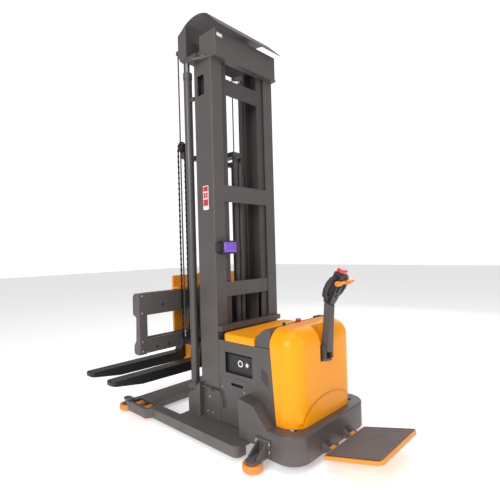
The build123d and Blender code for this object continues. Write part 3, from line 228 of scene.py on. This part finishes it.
# %% Floor dust group
dust_group, dust_in, dust_out = new_group("floor_dust", [("Reach", 0.25), ("Amount", 0.3)], ["Mask"])
dust_place = dust_group.nodes.new("ShaderNodeTexCoord")
dust_split = dust_group.nodes.new("ShaderNodeSeparateXYZ")
dust_group.links.new(dust_place.outputs["Object"], dust_split.inputs[0])
low = maths(dust_group, "SUBTRACT", 1.0,
            maths(dust_group, "DIVIDE", dust_split.outputs["Z"], dust_in.outputs["Reach"]), clamp=True)
low = maths(dust_group, "MULTIPLY", low, noise(dust_group, 18.0, 6.0))
dust_group.links.new(maths(dust_group, "MULTIPLY", low, dust_in.outputs["Amount"]), dust_out.inputs["Mask"])
print("groups", [g.name for g in bpy.data.node_groups])

# %% [markdown]
# ## Finishes
# One builder places the three groups in a material and mixes colour in three coats: a cloudy
# base, the colour that shows where an edge is rubbed, and pale dust. Clear coat, roughness
# and metal stay on the shader itself.


# %% Finish builder
def blend_colour(tree, amount, first, second):
    """Mix node between two colours; each is a socket or an RGB triple. Returns the colour."""
    node = tree.nodes.new("ShaderNodeMix")
    node.data_type = "RGBA"
    tree.links.new(amount, node.inputs["Factor"])
    for label, colour in (("A", first), ("B", second)):
        socket = [s for s in node.inputs if s.name == label and s.type == "RGBA"][0]
        if isinstance(colour, tuple):
            socket.default_value = (*colour, 1.0)
        else:
            tree.links.new(colour, socket)
    return [s for s in node.outputs if s.type == "RGBA"][0]


def finish(name, colour, deep, worn_colour, rough=0.45, metal=0.0, wear=0.4, grain=900.0,
           bump=0.05, coat=0.0, dust=0.25, width=0.003, mottle=5.0, shine=0.5):
    """A procedural finish: colour to deep by cloud, worn at edges, dusty near the floor.

    shine is the specular level.
    """
    made = bpy.data.materials.new(name)
    made.use_nodes = True
    tree = made.node_tree
    shader = tree.nodes["Principled BSDF"]
    shader.inputs["Metallic"].default_value = metal
    shader.inputs["Specular IOR Level"].default_value = shine
    shader.inputs["Coat Weight"].default_value = coat
    shader.inputs["Coat Roughness"].default_value = 0.12
    placed = {}
    for key, group, values in (("grain", grain_group, {"Scale": grain, "Mottle": mottle}),
                               ("wear", wear_group, {"Width": width, "Amount": wear}),
                               ("dust", dust_group, {"Amount": dust})):
        node = tree.nodes.new("ShaderNodeGroup")
        node.node_tree = group
        for label, value in values.items():
            node.inputs[label].default_value = value
        placed[key] = node
    base = blend_colour(tree, placed["grain"].outputs["Cloud"], colour, deep)
    base = blend_colour(tree, placed["wear"].outputs["Mask"], base, worn_colour)
    base = blend_colour(tree, placed["dust"].outputs["Mask"], base, (0.36, 0.34, 0.31))
    tree.links.new(base, shader.inputs["Base Color"])
    spread = maths(tree, "MULTIPLY", maths(tree, "SUBTRACT", placed["grain"].outputs["Cloud"], 0.5), 0.22)
    tree.links.new(maths(tree, "ADD", spread, rough, clamp=True), shader.inputs["Roughness"])
    relief = tree.nodes.new("ShaderNodeBump")
    relief.inputs["Strength"].default_value = bump
    relief.inputs["Distance"].default_value = 0.001
    tree.links.new(placed["grain"].outputs["Height"], relief.inputs["Height"])
    tree.links.new(relief.outputs["Normal"], shader.inputs["Normal"])
    return made


# %% The truck's finishes
truck_grey = finish("truck_grey", (0.086, 0.075, 0.073), (0.064, 0.056, 0.054), (0.22, 0.21, 0.20),
                    rough=0.44, bump=0.10, coat=0.10)
# Painted shade: a darker copy of truck_grey for the parts inside the mast and under the hood.
painted_shade_grey = finish("grey_painted_shade", (0.060, 0.053, 0.052), (0.044, 0.039, 0.038), (0.18, 0.17, 0.17),
                    rough=0.48, bump=0.10)
amber_shell = finish("amber_shell", (0.96, 0.365, 0.0), (0.93, 0.315, 0.0), (0.95, 0.45, 0.03),
                     rough=0.36, wear=0.10, grain=500, bump=0.02, coat=0.10, dust=0.04, width=0.004,
                     mottle=2.0, shine=0.25)
amber_paint = finish("amber_paint", (0.80, 0.29, 0.006), (0.68, 0.23, 0.005), (0.26, 0.25, 0.24),
                     rough=0.40, wear=0.45, bump=0.05, coat=0.15)
trim_grey = finish("trim_grey", (0.082, 0.078, 0.077), (0.062, 0.059, 0.058), (0.22, 0.21, 0.21),
                   rough=0.52, grain=1400, bump=0.25)
black_plastic = finish("black_plastic", (0.022, 0.022, 0.024), (0.015, 0.015, 0.017), (0.09, 0.09, 0.09),
                       rough=0.48, wear=0.25, grain=1600, bump=0.22, dust=0.15)
signal_red = finish("signal_red", (0.62, 0.012, 0.014), (0.52, 0.008, 0.010), (0.70, 0.20, 0.18),
                    rough=0.28, wear=0.15, coat=0.6, bump=0.02)
rocker_orange = finish("rocker_orange", (0.88, 0.26, 0.012), (0.80, 0.21, 0.010), (0.9, 0.5, 0.2),
                       rough=0.34, wear=0.2, coat=0.3, bump=0.03)
hard_chrome = finish("hard_chrome", (0.62, 0.62, 0.64), (0.55, 0.55, 0.57), (0.75, 0.75, 0.76), rough=0.14,
                     metal=1.0, wear=0.2, bump=0.01, dust=0.05)
zinc_steel = finish("zinc_steel", (0.50, 0.50, 0.51), (0.40, 0.40, 0.42), (0.7, 0.7, 0.7), rough=0.30,
                    metal=1.0, wear=0.5, bump=0.06, width=0.001)
fork_black = finish("fork_black", (0.014, 0.013, 0.013), (0.010, 0.009, 0.009), (0.12, 0.12, 0.12),
                    rough=0.40, wear=0.6, bump=0.12, width=0.005)
oiled_chain = finish("oiled_chain", (0.055, 0.052, 0.048), (0.030, 0.028, 0.026), (0.30, 0.29, 0.27),
                     rough=0.32, metal=0.8, wear=0.6, bump=0.08, width=0.001)
black_rubber = finish("black_rubber", (0.050, 0.044, 0.045), (0.038, 0.034, 0.035), (0.09, 0.09, 0.09),
                      rough=0.55, wear=0.3, grain=1300, bump=0.2)
orange_tyre = finish("orange_tyre", (0.80, 0.27, 0.012), (0.66, 0.20, 0.010), (0.45, 0.22, 0.08),
                     rough=0.42, wear=0.5, grain=700, bump=0.08, width=0.006)
plate_white = finish("plate_white", (0.80, 0.79, 0.77), (0.72, 0.71, 0.69), (0.6, 0.6, 0.6), rough=0.4,
                     wear=0.1, bump=0.02)
print("finishes", len(bpy.data.materials))

# %% [markdown]
# ## Two finishes with relief of their own
# The hood's rear face carries a shallow arched recess, too shallow to matter to its size, so
# it is a bump worked out from an ellipse. The platform mat is a grid of raised squares: the
# grooves between them are darkened with painted shade.


# %% Object axes
def object_axes(tree):
    """The X, Y and Z sockets of Object coordinates, in metres."""
    place = tree.nodes.new("ShaderNodeTexCoord")
    split = tree.nodes.new("ShaderNodeSeparateXYZ")
    tree.links.new(place.outputs["Object"], split.inputs[0])
    return split.outputs["X"], split.outputs["Y"], split.outputs["Z"]


# %% Hood relief
def hood_finish():
    """Amber shell with a recess under z = foot + rise times the root of 1 minus (x / half span) squared."""
    made = finish("hood_shell", (0.96, 0.365, 0.0), (0.94, 0.305, 0.0), (0.95, 0.45, 0.03), rough=0.34,
                  wear=0.10, grain=500, bump=0.02, coat=0.12, dust=0.04, width=0.004, mottle=2.0,
                  shine=0.25)
    tree = made.node_tree
    x, y, z = object_axes(tree)
    middle, rear = station[0], hood_low.y
    share = maths(tree, "DIVIDE", maths(tree, "SUBTRACT", x, middle), 0.315)
    curve = maths(tree, "SQRT",
                  maths(tree, "SUBTRACT", 1.0, maths(tree, "MULTIPLY", share, share), clamp=True))
    line = maths(tree, "ADD", maths(tree, "MULTIPLY", curve, 0.150), 0.275)
    above = maths(tree, "MULTIPLY", maths(tree, "SUBTRACT", z, line), 45.0, clamp=True)
    rearward = maths(tree, "LESS_THAN", y, rear + 0.030)
    recess = maths(tree, "MULTIPLY", maths(tree, "SUBTRACT", 1.0, above), rearward)
    relief = tree.nodes.new("ShaderNodeBump")
    relief.invert = True
    relief.inputs["Strength"].default_value = 0.8
    relief.inputs["Distance"].default_value = 0.010
    tree.links.new(recess, relief.inputs["Height"])
    shader = tree.nodes["Principled BSDF"]
    grain_bump = shader.inputs["Normal"].links[0].from_node
    tree.links.new(grain_bump.outputs["Normal"], relief.inputs["Normal"])
    tree.links.new(relief.outputs["Normal"], shader.inputs["Normal"])
    return made


# %% Tread rubber
TREAD_PITCH = 0.026


def tread_finish():
    """Grey rubber with painted shade, darker where the sine of x or of y is near nought, which is where the
    grooves run.
    """
    made = finish("tread_rubber", (0.165, 0.135, 0.140), (0.125, 0.104, 0.108), (0.24, 0.22, 0.22),
                  rough=0.58,
                  wear=0.2, grain=1200, bump=0.15, dust=0.15)
    tree = made.node_tree
    shader = tree.nodes["Principled BSDF"]
    before = shader.inputs["Base Color"].links[0].from_socket
    x, y, z = object_axes(tree)
    waves = []
    for axis, start, stretch in ((x, station[0], 1.0),
                                 (y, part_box("platform_mat")[1].y, np.cos(np.radians(14)))):
        turns = maths(tree, "MULTIPLY", maths(tree, "SUBTRACT", axis, float(start)),
                      float(np.pi / TREAD_PITCH / stretch))
        waves.append(maths(tree, "ABSOLUTE", maths(tree, "SINE", turns)))
    near_groove = maths(tree, "MINIMUM", waves[0], waves[1])
    # Painted shade: the grooves between the raised squares are painted near black.
    groove_shade = maths(tree, "SUBTRACT", 1.0, maths(tree, "MULTIPLY", near_groove, 3.2, clamp=True), clamp=True)
    dark = blend_colour(tree, groove_shade, before, (0.018, 0.015, 0.016))
    tree.links.new(dark, shader.inputs["Base Color"])
    return made


hood_shell, tread_rubber = hood_finish(), tread_finish()

# %% Finishes on the frame's parts
finish_of_slot = {
    "grey_paint": truck_grey, "yellow_shell": amber_shell, "yellow_paint": amber_paint,
    "grey_trim": trim_grey, "dark_plastic": black_plastic, "red_plastic": signal_red,
    "orange_plastic": rocker_orange, "chrome_rod": hard_chrome, "fork_steel": fork_black,
    "chain_steel": oiled_chain, "black_rubber": black_rubber, "orange_pu": orange_tyre,
}
slot_of_node = {part["node"]: part["material_slot"] for part in frame["record"]["subparts"]}
# Painted shade: these parts inside the mast and under the hood take the darker copy of the truck grey.
painted_shade_parts = {"inner_mast_frame", "free_lift_cylinder", "crosshead", "mast_carriage", "drive_frame",
          "pump_unit", "gearbox", "drive_motor"}
for name, node in nodes.items():
    chosen = painted_shade_grey if name in painted_shade_parts else finish_of_slot[slot_of_node[name]]
    chosen = hood_shell if name == "rear_hood" else chosen
    node.data.materials.clear()
    node.data.materials.append(chosen)
print("dressed", len(nodes), "nodes")

# %% [markdown]
# ## Building surfaces
# Every new piece is a grid of points: rows along a path, columns round a profile. The grid
# becomes quads in one array operation, doubled points at poles are merged, and normals are
# recalculated so that each closed shell faces outwards.


# %% Grids into pieces
def grid_faces(rows, columns, first=0, wrap=True):
    """Quads between neighbouring rows and columns of a grid whose first vertex is first."""
    across = columns if wrap else columns - 1
    r, c = np.meshgrid(np.arange(rows - 1), np.arange(across), indexing="ij")
    d = (c + 1) % columns
    quads = np.stack([r * columns + c, r * columns + d, (r + 1) * columns + d, (r + 1) * columns + c],
                     axis=-1)
    return quads.reshape(-1, 4) + first


def piece(name, grids, finishes, body, stands_for=(), wrap=True, sharp=32.0):
    """Joins grids into one closed mesh, riding on body if one is named.

    finishes is one material, or one for each grid.
    """
    points, quads, kinds, first = [], [], [], 0
    each = finishes if isinstance(finishes, list) else [finishes] * len(grids)
    unique = list(dict.fromkeys(each))
    for grid, made_of in zip(grids, each):
        rows, columns = grid.shape[:2]
        made = grid_faces(rows, columns, first, wrap)
        points.append(grid.reshape(-1, 3))
        quads.append(made)
        kinds.append(np.full(len(made), unique.index(made_of)))
        first += rows * columns
    mesh = bpy.data.meshes.new(name)
    mesh.from_pydata(np.concatenate(points).tolist(), [], np.concatenate(quads).tolist())
    for made_of in unique:
        mesh.materials.append(made_of)
    mesh.polygons.foreach_set("material_index", np.concatenate(kinds).astype(np.int32))
    close_shells(mesh)
    mesh.polygons.foreach_set("use_smooth", np.ones(len(mesh.polygons), bool))
    mesh.set_sharp_from_angle(angle=np.radians(sharp))
    made = bpy.data.objects.new(name, mesh)
    bpy.context.scene.collection.objects.link(made)
    if body:
        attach(made, body)
    if stands_for:
        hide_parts(*stands_for)
    return made


def close_shells(mesh):
    """Merges the doubled points at poles and seams, then turns every shell to face outwards."""
    import bmesh
    shell = bmesh.new()
    shell.from_mesh(mesh)
    bmesh.ops.remove_doubles(shell, verts=shell.verts, dist=1e-6)
    bmesh.ops.recalc_face_normals(shell, faces=shell.faces)
    shell.to_mesh(mesh)
    shell.free()


# %% Turned, swept and slab shapes
def frame_about(axis):
    """Two unit vectors square to axis and to each other."""
    axis = np.asarray(axis, float) / np.linalg.norm(axis)
    helper = np.array([0.0, 0.0, 1.0]) if abs(axis[2]) < 0.9 else np.array([1.0, 0.0, 0.0])
    first = np.cross(helper, axis)
    first /= np.linalg.norm(first)
    return first, np.cross(axis, first), axis


def turned(profile, centre, axis, sides=32, turn=0.0):
    """A profile of (radius, height) in mm carried round an axis: centre + r cos a u + r sin a v + h axis."""
    u, v, w = frame_about(axis)
    r, h = np.asarray(profile, float).T / 1000.0
    a = np.linspace(0, 2 * np.pi, sides, endpoint=False) + turn
    ring = np.cos(a)[:, None] * u + np.sin(a)[:, None] * v
    return centre + r[:, None, None] * ring[None] + h[:, None, None] * w


def swept(path, radius, sides=12):
    """A round tube along a path in metres: a circle square to it at each point, ends closed to a point."""
    path = np.asarray(path, float)
    along = np.gradient(path, axis=0)
    along /= np.linalg.norm(along, axis=1)[:, None]
    helper = np.array([0.31, 0.52, 0.79])
    u = np.cross(along, helper)
    u /= np.linalg.norm(u, axis=1)[:, None]
    v = np.cross(along, u)
    a = np.linspace(0, 2 * np.pi, sides, endpoint=False)
    rings = path[:, None] + radius * (np.cos(a)[None, :, None] * u[:, None]
                                      + np.sin(a)[None, :, None] * v[:, None])
    ends = [np.repeat(path[i][None, None], sides, axis=1) for i in (0, -1)]
    return np.concatenate([ends[0], rings, ends[1]])


def slab(centre, across, up, width, height, thick, corner=4.0, sides=8):
    """A thin rounded plate in mm: a rounded rectangle, chamfered, closed at both faces."""
    across, up = np.asarray(across, float), np.asarray(up, float)
    out = np.cross(across, up)
    a = np.linspace(0, 2 * np.pi, 4 * sides, endpoint=False) + np.pi / (4 * sides)
    quarter = np.stack([np.sign(np.cos(a)), np.sign(np.sin(a))], axis=1)
    outline = (quarter * (np.array([width, height]) / 2 - corner)
               + corner * np.stack([np.cos(a), np.sin(a)], axis=1))
    rings = []
    for share, depth in ((0.0, 0.0), (1.0, 0.0), (1.0, thick * 0.7),
                         (1 - 0.8 * thick / min(width, height), thick), (0.0, thick)):
        flat = outline * share / 1000.0
        rings.append(centre + flat[:, :1] * across + flat[:, 1:] * up + out * depth / 1000.0)
    return np.stack(rings)


def bend_path(corners, radius=0.03, steps=6):
    """A path through corners in metres, each corner rounded by a parabola that starts radius before it."""
    corners = np.asarray(corners, float)
    path = [corners[0]]
    for before, here, after in zip(corners[:-2], corners[1:-1], corners[2:]):
        inward = here + (before - here) / np.linalg.norm(before - here) * radius
        outward = here + (after - here) / np.linalg.norm(after - here) * radius
        t = np.linspace(0, 1, steps)[:, None]
        path.extend((1 - t) ** 2 * inward + 2 * t * (1 - t) * here + t ** 2 * outward)
    path.append(corners[-1])
    return np.array(path)


def touch(node_name, start, aim):
    """Where a straight line from start (frame metres) along aim first meets a CAD node, or None."""
    hit, place, normal, _ = nodes[node_name].ray_cast(Vector(start), Vector(aim))
    return (np.array(place), np.array(normal)) if hit else None


print("shape helpers ready")

# %% [markdown]
# ## Guide rollers and load wheels
# Each is a band of cast polyurethane on a black iron hub. The tyre has a shallow crown and a
# rounded shoulder, and the hub is dished so that light catches its rim. A clearance of a
# millimetre round the pin keeps the roller free of its bracket.

# %% Rollers
TYRE = [(44, 3), (66, 0), (71, 2), (74, 7), (75, 16), (75, 36), (74, 45), (71, 50), (66, 52), (44, 49),
        (44, 3)]
HUB = [(13, 6), (30, 6), (33, 12), (41, 12), (44.5, 5), (44.5, 47), (41, 40), (33, 40), (30, 46), (13, 46),
       (13, 6)]
roller_places = {"front_left": (-640, 1100), "front_right": (640, 1100), "rear_left": (-630, -590),
                 "rear_right": (630, -590)}
for place_name, (x, y) in roller_places.items():
    low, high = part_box("guide_roller_" + place_name)
    centre = np.array([(low.x + high.x) / 2, (low.y + high.y) / 2, low.z])
    piece("roller_" + place_name, [turned(TYRE, centre, (0, 0, 1), 64), turned(HUB, centre, (0, 0, 1), 48)],
          [orange_tyre, black_plastic], "guide_roller_" + place_name,
          ["guide_roller_" + place_name])
WHEEL = [(12, -42), (34, -42), (38, -36), (50, -42), (55, -40), (58, -34), (58, 34), (55, 40), (50, 42),
         (38, 36), (34, 42), (12, 42), (12, -42)]
for place_name in ("left_front", "left_rear", "right_front", "right_rear"):
    low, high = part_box("load_wheel_" + place_name)
    centre = (np.array(low) + np.array(high)) / 2
    piece("wheel_" + place_name, [turned(WHEEL, centre, (1, 0, 0), 48)], orange_tyre,
          "load_wheel_" + place_name, ["load_wheel_" + place_name])
print("rollers", len(roller_places))

# %% [markdown]
# ## Bolts
# A hex head is a turned profile with six sides, and its washer the same with twenty-four.
# Each bolt is set where a straight line from outside first meets the part it holds, so it
# sits on the true surface.


# %% Bolts
def bolt(place, axis, size=8.0):
    """A hex head and washer in mm of nominal size, standing on place along axis."""
    washer = [(0, -1), (size * 1.35, -1), (size * 1.35, size * 0.14), (size * 1.2, size * 0.22),
              (0, size * 0.22)]
    head = [(0, 0), (size * 0.95, 0), (size * 0.95, size * 0.72), (size * 0.80, size * 0.9),
            (0, size * 0.9)]
    return [turned(washer, place, axis, 20), turned(head, place, axis, 6, 0.26)]


def bolt_row(name, node_name, spots, aim, body, size=8.0):
    """One piece of all the bolts whose lines along aim from spots (station mm) meet a node."""
    grids = []
    for spot in spots:
        met = touch(node_name, at(*spot), aim)
        if met is not None:
            grids.extend(bolt(met[0], -np.asarray(aim, float), size))
    if grids:
        piece(name, grids, zinc_steel, body, sharp=25.0)
    print(name, len(grids) // 2, "of", len(spots))


for hand, side_name in ((-1, "left"), (1, "right")):
    inward = (-hand, 0, 0)
    bolt_row(f"bracket_bolts_{side_name}", "guide_roller_brackets",
             [(hand * 900, y, z) for y in (-650, -530) for z in (118, 172)], inward, "chassis", 9)
    bolt_row(f"mast_foot_bolts_{side_name}", "mast_uprights",
             [(hand * 900, y, z) for y, z in ((90, 165), (150, 165), (120, 300))], inward, "chassis", 9)
    bolt_row(f"panel_screws_{side_name}", "side_panel_" + side_name,
             [(hand * 900, y, z) for y, z in ((-300, 425), (-46, 425))], inward, "chassis", 5)
    bolt_row(f"tongue_bolts_{side_name}", "guide_roller_brackets",
             [(hand * x, 1030, 400) for x in (622, 656)], (0, 0, -1), "chassis", 8)
    bolt_row(f"beam_bolts_{side_name}", "mast_top_beam", [(hand * 425, y, 3400) for y in (10, 70, 130)],
             (0, 0, -1), "chassis", 8)
    bolt_row(f"rail_bolts_{side_name}", "traverse_frame",
             [(hand * 780, 300, z) for z in (1180, 1030, 780, 700)], (0, 1, 0), "mast_carriage", 7)

# %% [markdown]
# ## Lift chains
# A leaf chain is pairs of waisted plates on short pins. One link's plates are a flattened
# oval bar, and a link's place is its index times the pitch along the fall, so the whole
# chain is one array sum. Each fall is baked in place in the frame and rides on no body.


# %% Chains
PITCH = 0.0254


def chain_grids(route, across):
    """Oval link plates at pitch steps along a route. Each is a squashed six-sided bar, wide on odd links."""
    route = np.asarray(route, float)
    step = np.linalg.norm(np.diff(route, axis=0), axis=1)
    length = np.concatenate([[0], np.cumsum(step)])
    count = int(length[-1] / PITCH)
    middles = np.stack([np.interp((np.arange(count) + 0.5) * PITCH, length, route[:, k]) for k in range(3)],
                       axis=1)
    after = np.stack([np.interp((np.arange(count) + 0.6) * PITCH, length, route[:, k]) for k in range(3)],
                     axis=1)
    along = after - middles
    along /= np.linalg.norm(along, axis=1)[:, None]
    out = np.cross(along, across)
    a = np.linspace(0, 2 * np.pi, 8, endpoint=False)
    oval = np.stack([np.cos(a) * 0.0145, np.sin(a) * 0.0070], axis=1)
    links = []
    for index in range(count):
        wide = 0.0072 if index % 2 else 0.0042
        flat = middles[index] + oval[:, :1] * along[index] + oval[:, 1:] * out[index]
        middle = np.repeat(middles[index][None], 8, axis=0)
        links.append(np.stack([middle - across * wide, flat - across * wide, flat + across * wide,
                               middle + across * wide]))
    return links


def leaf(hand, reach, name, wrap_over):
    """One fall from its foot to the pulley, and over the pulley where wrap_over is set."""
    x, y = hand * 376, 465 + reach * 49.5
    z = np.linspace(742, 2530, 60)
    route = np.stack([np.full(60, x), np.full(60, y), z], axis=1)
    if wrap_over:
        turn_angle = np.linspace(0, np.pi, 14)[1:]
        arc = np.stack([np.full(13, x), 465 + reach * 49.5 * np.cos(turn_angle),
                        2530 + 49.5 * np.sin(turn_angle)], axis=1)
        route = np.concatenate([route, arc])
    made = piece(name, chain_grids(station + route / 1000.0, np.array([1.0, 0, 0])), oiled_chain, None,
                 ["lift_chains"], sharp=60)
    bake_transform(made)
    print(name, len(made.data.polygons))


for hand, side_name in ((-1, "left"), (1, "right")):
    leaf(hand, -1, f"chain_back_{side_name}", True)
    leaf(hand, 1, f"chain_front_{side_name}", False)

# %% [markdown]
# ## Mast hoses
# Each hose climbs from the foot of its fall, turns over the sheave at the top of the inner
# mast and drops on the far side. It is one tube swept along the two falls and the half
# circle between them, with a crimped fitting at each end.

# %% Hoses
FITTING = [(0, 0), (9, 0), (9, 12), (7.5, 14), (7.5, 44), (9.5, 46), (9.5, 60), (0, 60)]
for hand, side_name in ((-1, "left"), (1, "right")):
    x = hand * 353
    angle = np.linspace(0, np.pi, 20)
    back = np.stack([np.full(30, x), np.full(30, 416.0), np.linspace(775, 3400, 30)], axis=1)
    over = np.stack([np.full(20, x), 462 - 46 * np.cos(angle), 3400 + 46 * np.sin(angle)], axis=1)
    down = np.stack([np.full(30, x), np.full(30, 508.0), np.linspace(3400, 775, 30)], axis=1)
    tube = swept(station + np.concatenate([back, over[1:-1], down]) / 1000.0, 0.0068)
    ends = [turned(FITTING, at(x, y, 762), (0, 0, 1), 6) for y in (416, 508)]
    piece(f"hose_{side_name}", [tube] + ends, [black_rubber, zinc_steel, zinc_steel], "inner_mast",
          ["mast_hoses"])

# %% [markdown]
# ## Platform mat
# The operator stands on a rubber mat of small squares. Its top is a height field: the sine
# of the way across and of the way along, and where both are high a square stands up. The field
# ends in a plain border, and a flat underside closes it.

# %% Mat
mat_tilt = np.radians(14)
mat_low, mat_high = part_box("platform_mat")
u, v = np.meshgrid(np.linspace(-1, 1, 250), np.linspace(0, 1, 176), indexing="ij")
mat_half, mat_length, mat_thick = (mat_high.x - mat_low.x) / 2, 0.4140, 0.006
along_slope = v * mat_length
across_mat = u * mat_half
across_wave = np.abs(np.sin(across_mat * np.pi / TREAD_PITCH))
along_wave = np.abs(np.sin(along_slope * np.pi / TREAD_PITCH))
stud = np.minimum(across_wave, along_wave)
border = np.minimum(np.minimum((1 - np.abs(u)) * mat_half, along_slope), mat_length - along_slope)
raised = np.clip(stud * 3.0 - 0.3, 0, 1) * np.clip((border - 0.006) * 300, 0, 1)
top = mat_thick - 0.0022 + 0.0022 * raised
slope_out = np.array([0, -np.cos(mat_tilt), np.sin(mat_tilt)])
slope_up = np.array([0, np.sin(mat_tilt), np.cos(mat_tilt)])
mat_start = np.array([(mat_low.x + mat_high.x) / 2, mat_high.y, 0.0])
mat_start[2] = mat_high.z - mat_length * np.sin(mat_tilt) - mat_thick * np.cos(mat_tilt)
mat_start[1] = mat_high.y - mat_thick * np.sin(mat_tilt)
upper = (mat_start + across_mat[..., None] * np.array([1.0, 0, 0])
         + along_slope[..., None] * slope_out + top[..., None] * slope_up)
lower = mat_start + across_mat[..., None] * np.array([1.0, 0, 0]) + along_slope[..., None] * slope_out
edge_pairs = [(upper[0], lower[0]), (upper[-1], lower[-1]), (upper[:, 0], lower[:, 0]),
              (upper[:, -1], lower[:, -1])]
skirts = [np.stack(pair) for pair in edge_pairs]
piece("platform_tread", [upper] + skirts + [lower], tread_rubber, "platform",
      ["platform_mat"], wrap=False, sharp=50)
print("mat from", mat_start)

# %% [markdown]
# ## Display, plates and small fittings
# The mast display is a dark case with a lit screen: a soft violet field and a few plain
# bars, with no writing. The plates on the mast are blank panels of the same size and colour
# as real ones.


# %% Screen finish
def screen_finish():
    """A glossy panel that glows violet, with pale bars in rows."""
    made = bpy.data.materials.new("screen_glow")
    made.use_nodes = True
    tree = made.node_tree
    shader = tree.nodes["Principled BSDF"]
    shader.inputs["Roughness"].default_value = 0.12
    shader.inputs["Emission Strength"].default_value = 0.55
    place = tree.nodes.new("ShaderNodeTexCoord")
    rows = tree.nodes.new("ShaderNodeTexWave")
    rows.bands_direction = "Z"
    rows.inputs["Scale"].default_value = 14.0
    rows.inputs["Distortion"].default_value = 0.0
    tree.links.new(place.outputs["Object"], rows.inputs["Vector"])
    bars = maths(tree, "GREATER_THAN", rows.outputs["Fac"], 0.86)
    glow = blend_colour(tree, maths(tree, "MULTIPLY", bars, 0.15), (0.13, 0.052, 0.36), (0.40, 0.30, 0.75))
    tree.links.new(glow, shader.inputs["Base Color"])
    tree.links.new(glow, shader.inputs["Emission Color"])
    return made


# %% Display and plates
screen_glow = screen_finish()
display_low, display_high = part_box("mast_display")
face_y = at(0, -44, 0)[1]
middle = np.array([at(-265, 0, 0)[0], face_y, (display_low.z + display_high.z) / 2])
piece("display_screen", [slab(middle, (1, 0, 0), (0, 0, 1), 146, 84, 1.2, 5)], screen_glow, "chassis")
left_face = at(-400, 0, 0)[0]
plate_at = np.array([left_face, at(0, 105, 0)[1], 2.020])
warning = [slab(plate_at, (0, -1, 0), (0, 0, 1), 70, 207, 0.6, 3)]
blocks = [(0, 76, 60, 44), (-15, 20, 24, 50), (15, 20, 24, 50), (0, -42, 60, 56)]
for y, z, width, height in blocks:
    warning.append(slab(plate_at + np.array([-0.0006, -y / 1000, z / 1000]), (0, -1, 0), (0, 0, 1), width,
                        height, 0.3, 2))
piece("mast_side_plate", warning, [plate_white] + [signal_red] * len(blocks), "chassis")
tag = touch("mast_top_beam", at(-340, -900, 3390), (0, 1, 0))
if tag is not None:
    piece("beam_tag", [slab(tag[0], (1, 0, 0), (0, 0, 1), 62, 30, 0.5, 2)], plate_white, "chassis")

# %% Pipe round the mast foot
pipe = bend_path([at(-418, 330, 380), at(-418, -30, 380), at(-418, -60, 300), at(-418, -60, 250)], 0.04)
clamps = [turned([(0, -6), (13, -6), (13, 6), (0, 6)], at(-418, y, 380), (0, 1, 0), 8) for y in (270, 60)]
piece("foot_pipe", [swept(pipe, 0.008)] + clamps, [truck_grey, black_plastic, black_plastic], "chassis")

# %% Battery connector in the window
for hand, side_name in ((-1, "left"), (1, "right")):
    seat = at(hand * 373, -240, 640)
    ring = [(20, 0), (26, 0), (28, 3), (26, 6), (20, 6), (18, 3), (20, 0)]
    plug = [(0, 0), (15, 0), (15, 5), (12, 7), (0, 7)]
    near = seat + np.array([0, -0.075, 0.0])
    piece(f"battery_socket_{side_name}",
          [turned(ring, seat, (hand, 0, 0), 32), turned(ring, near, (hand, 0, 0), 32),
           turned(plug, near, (hand, 0, 0), 24)],
          [plate_white, trim_grey, plate_white], "chassis")
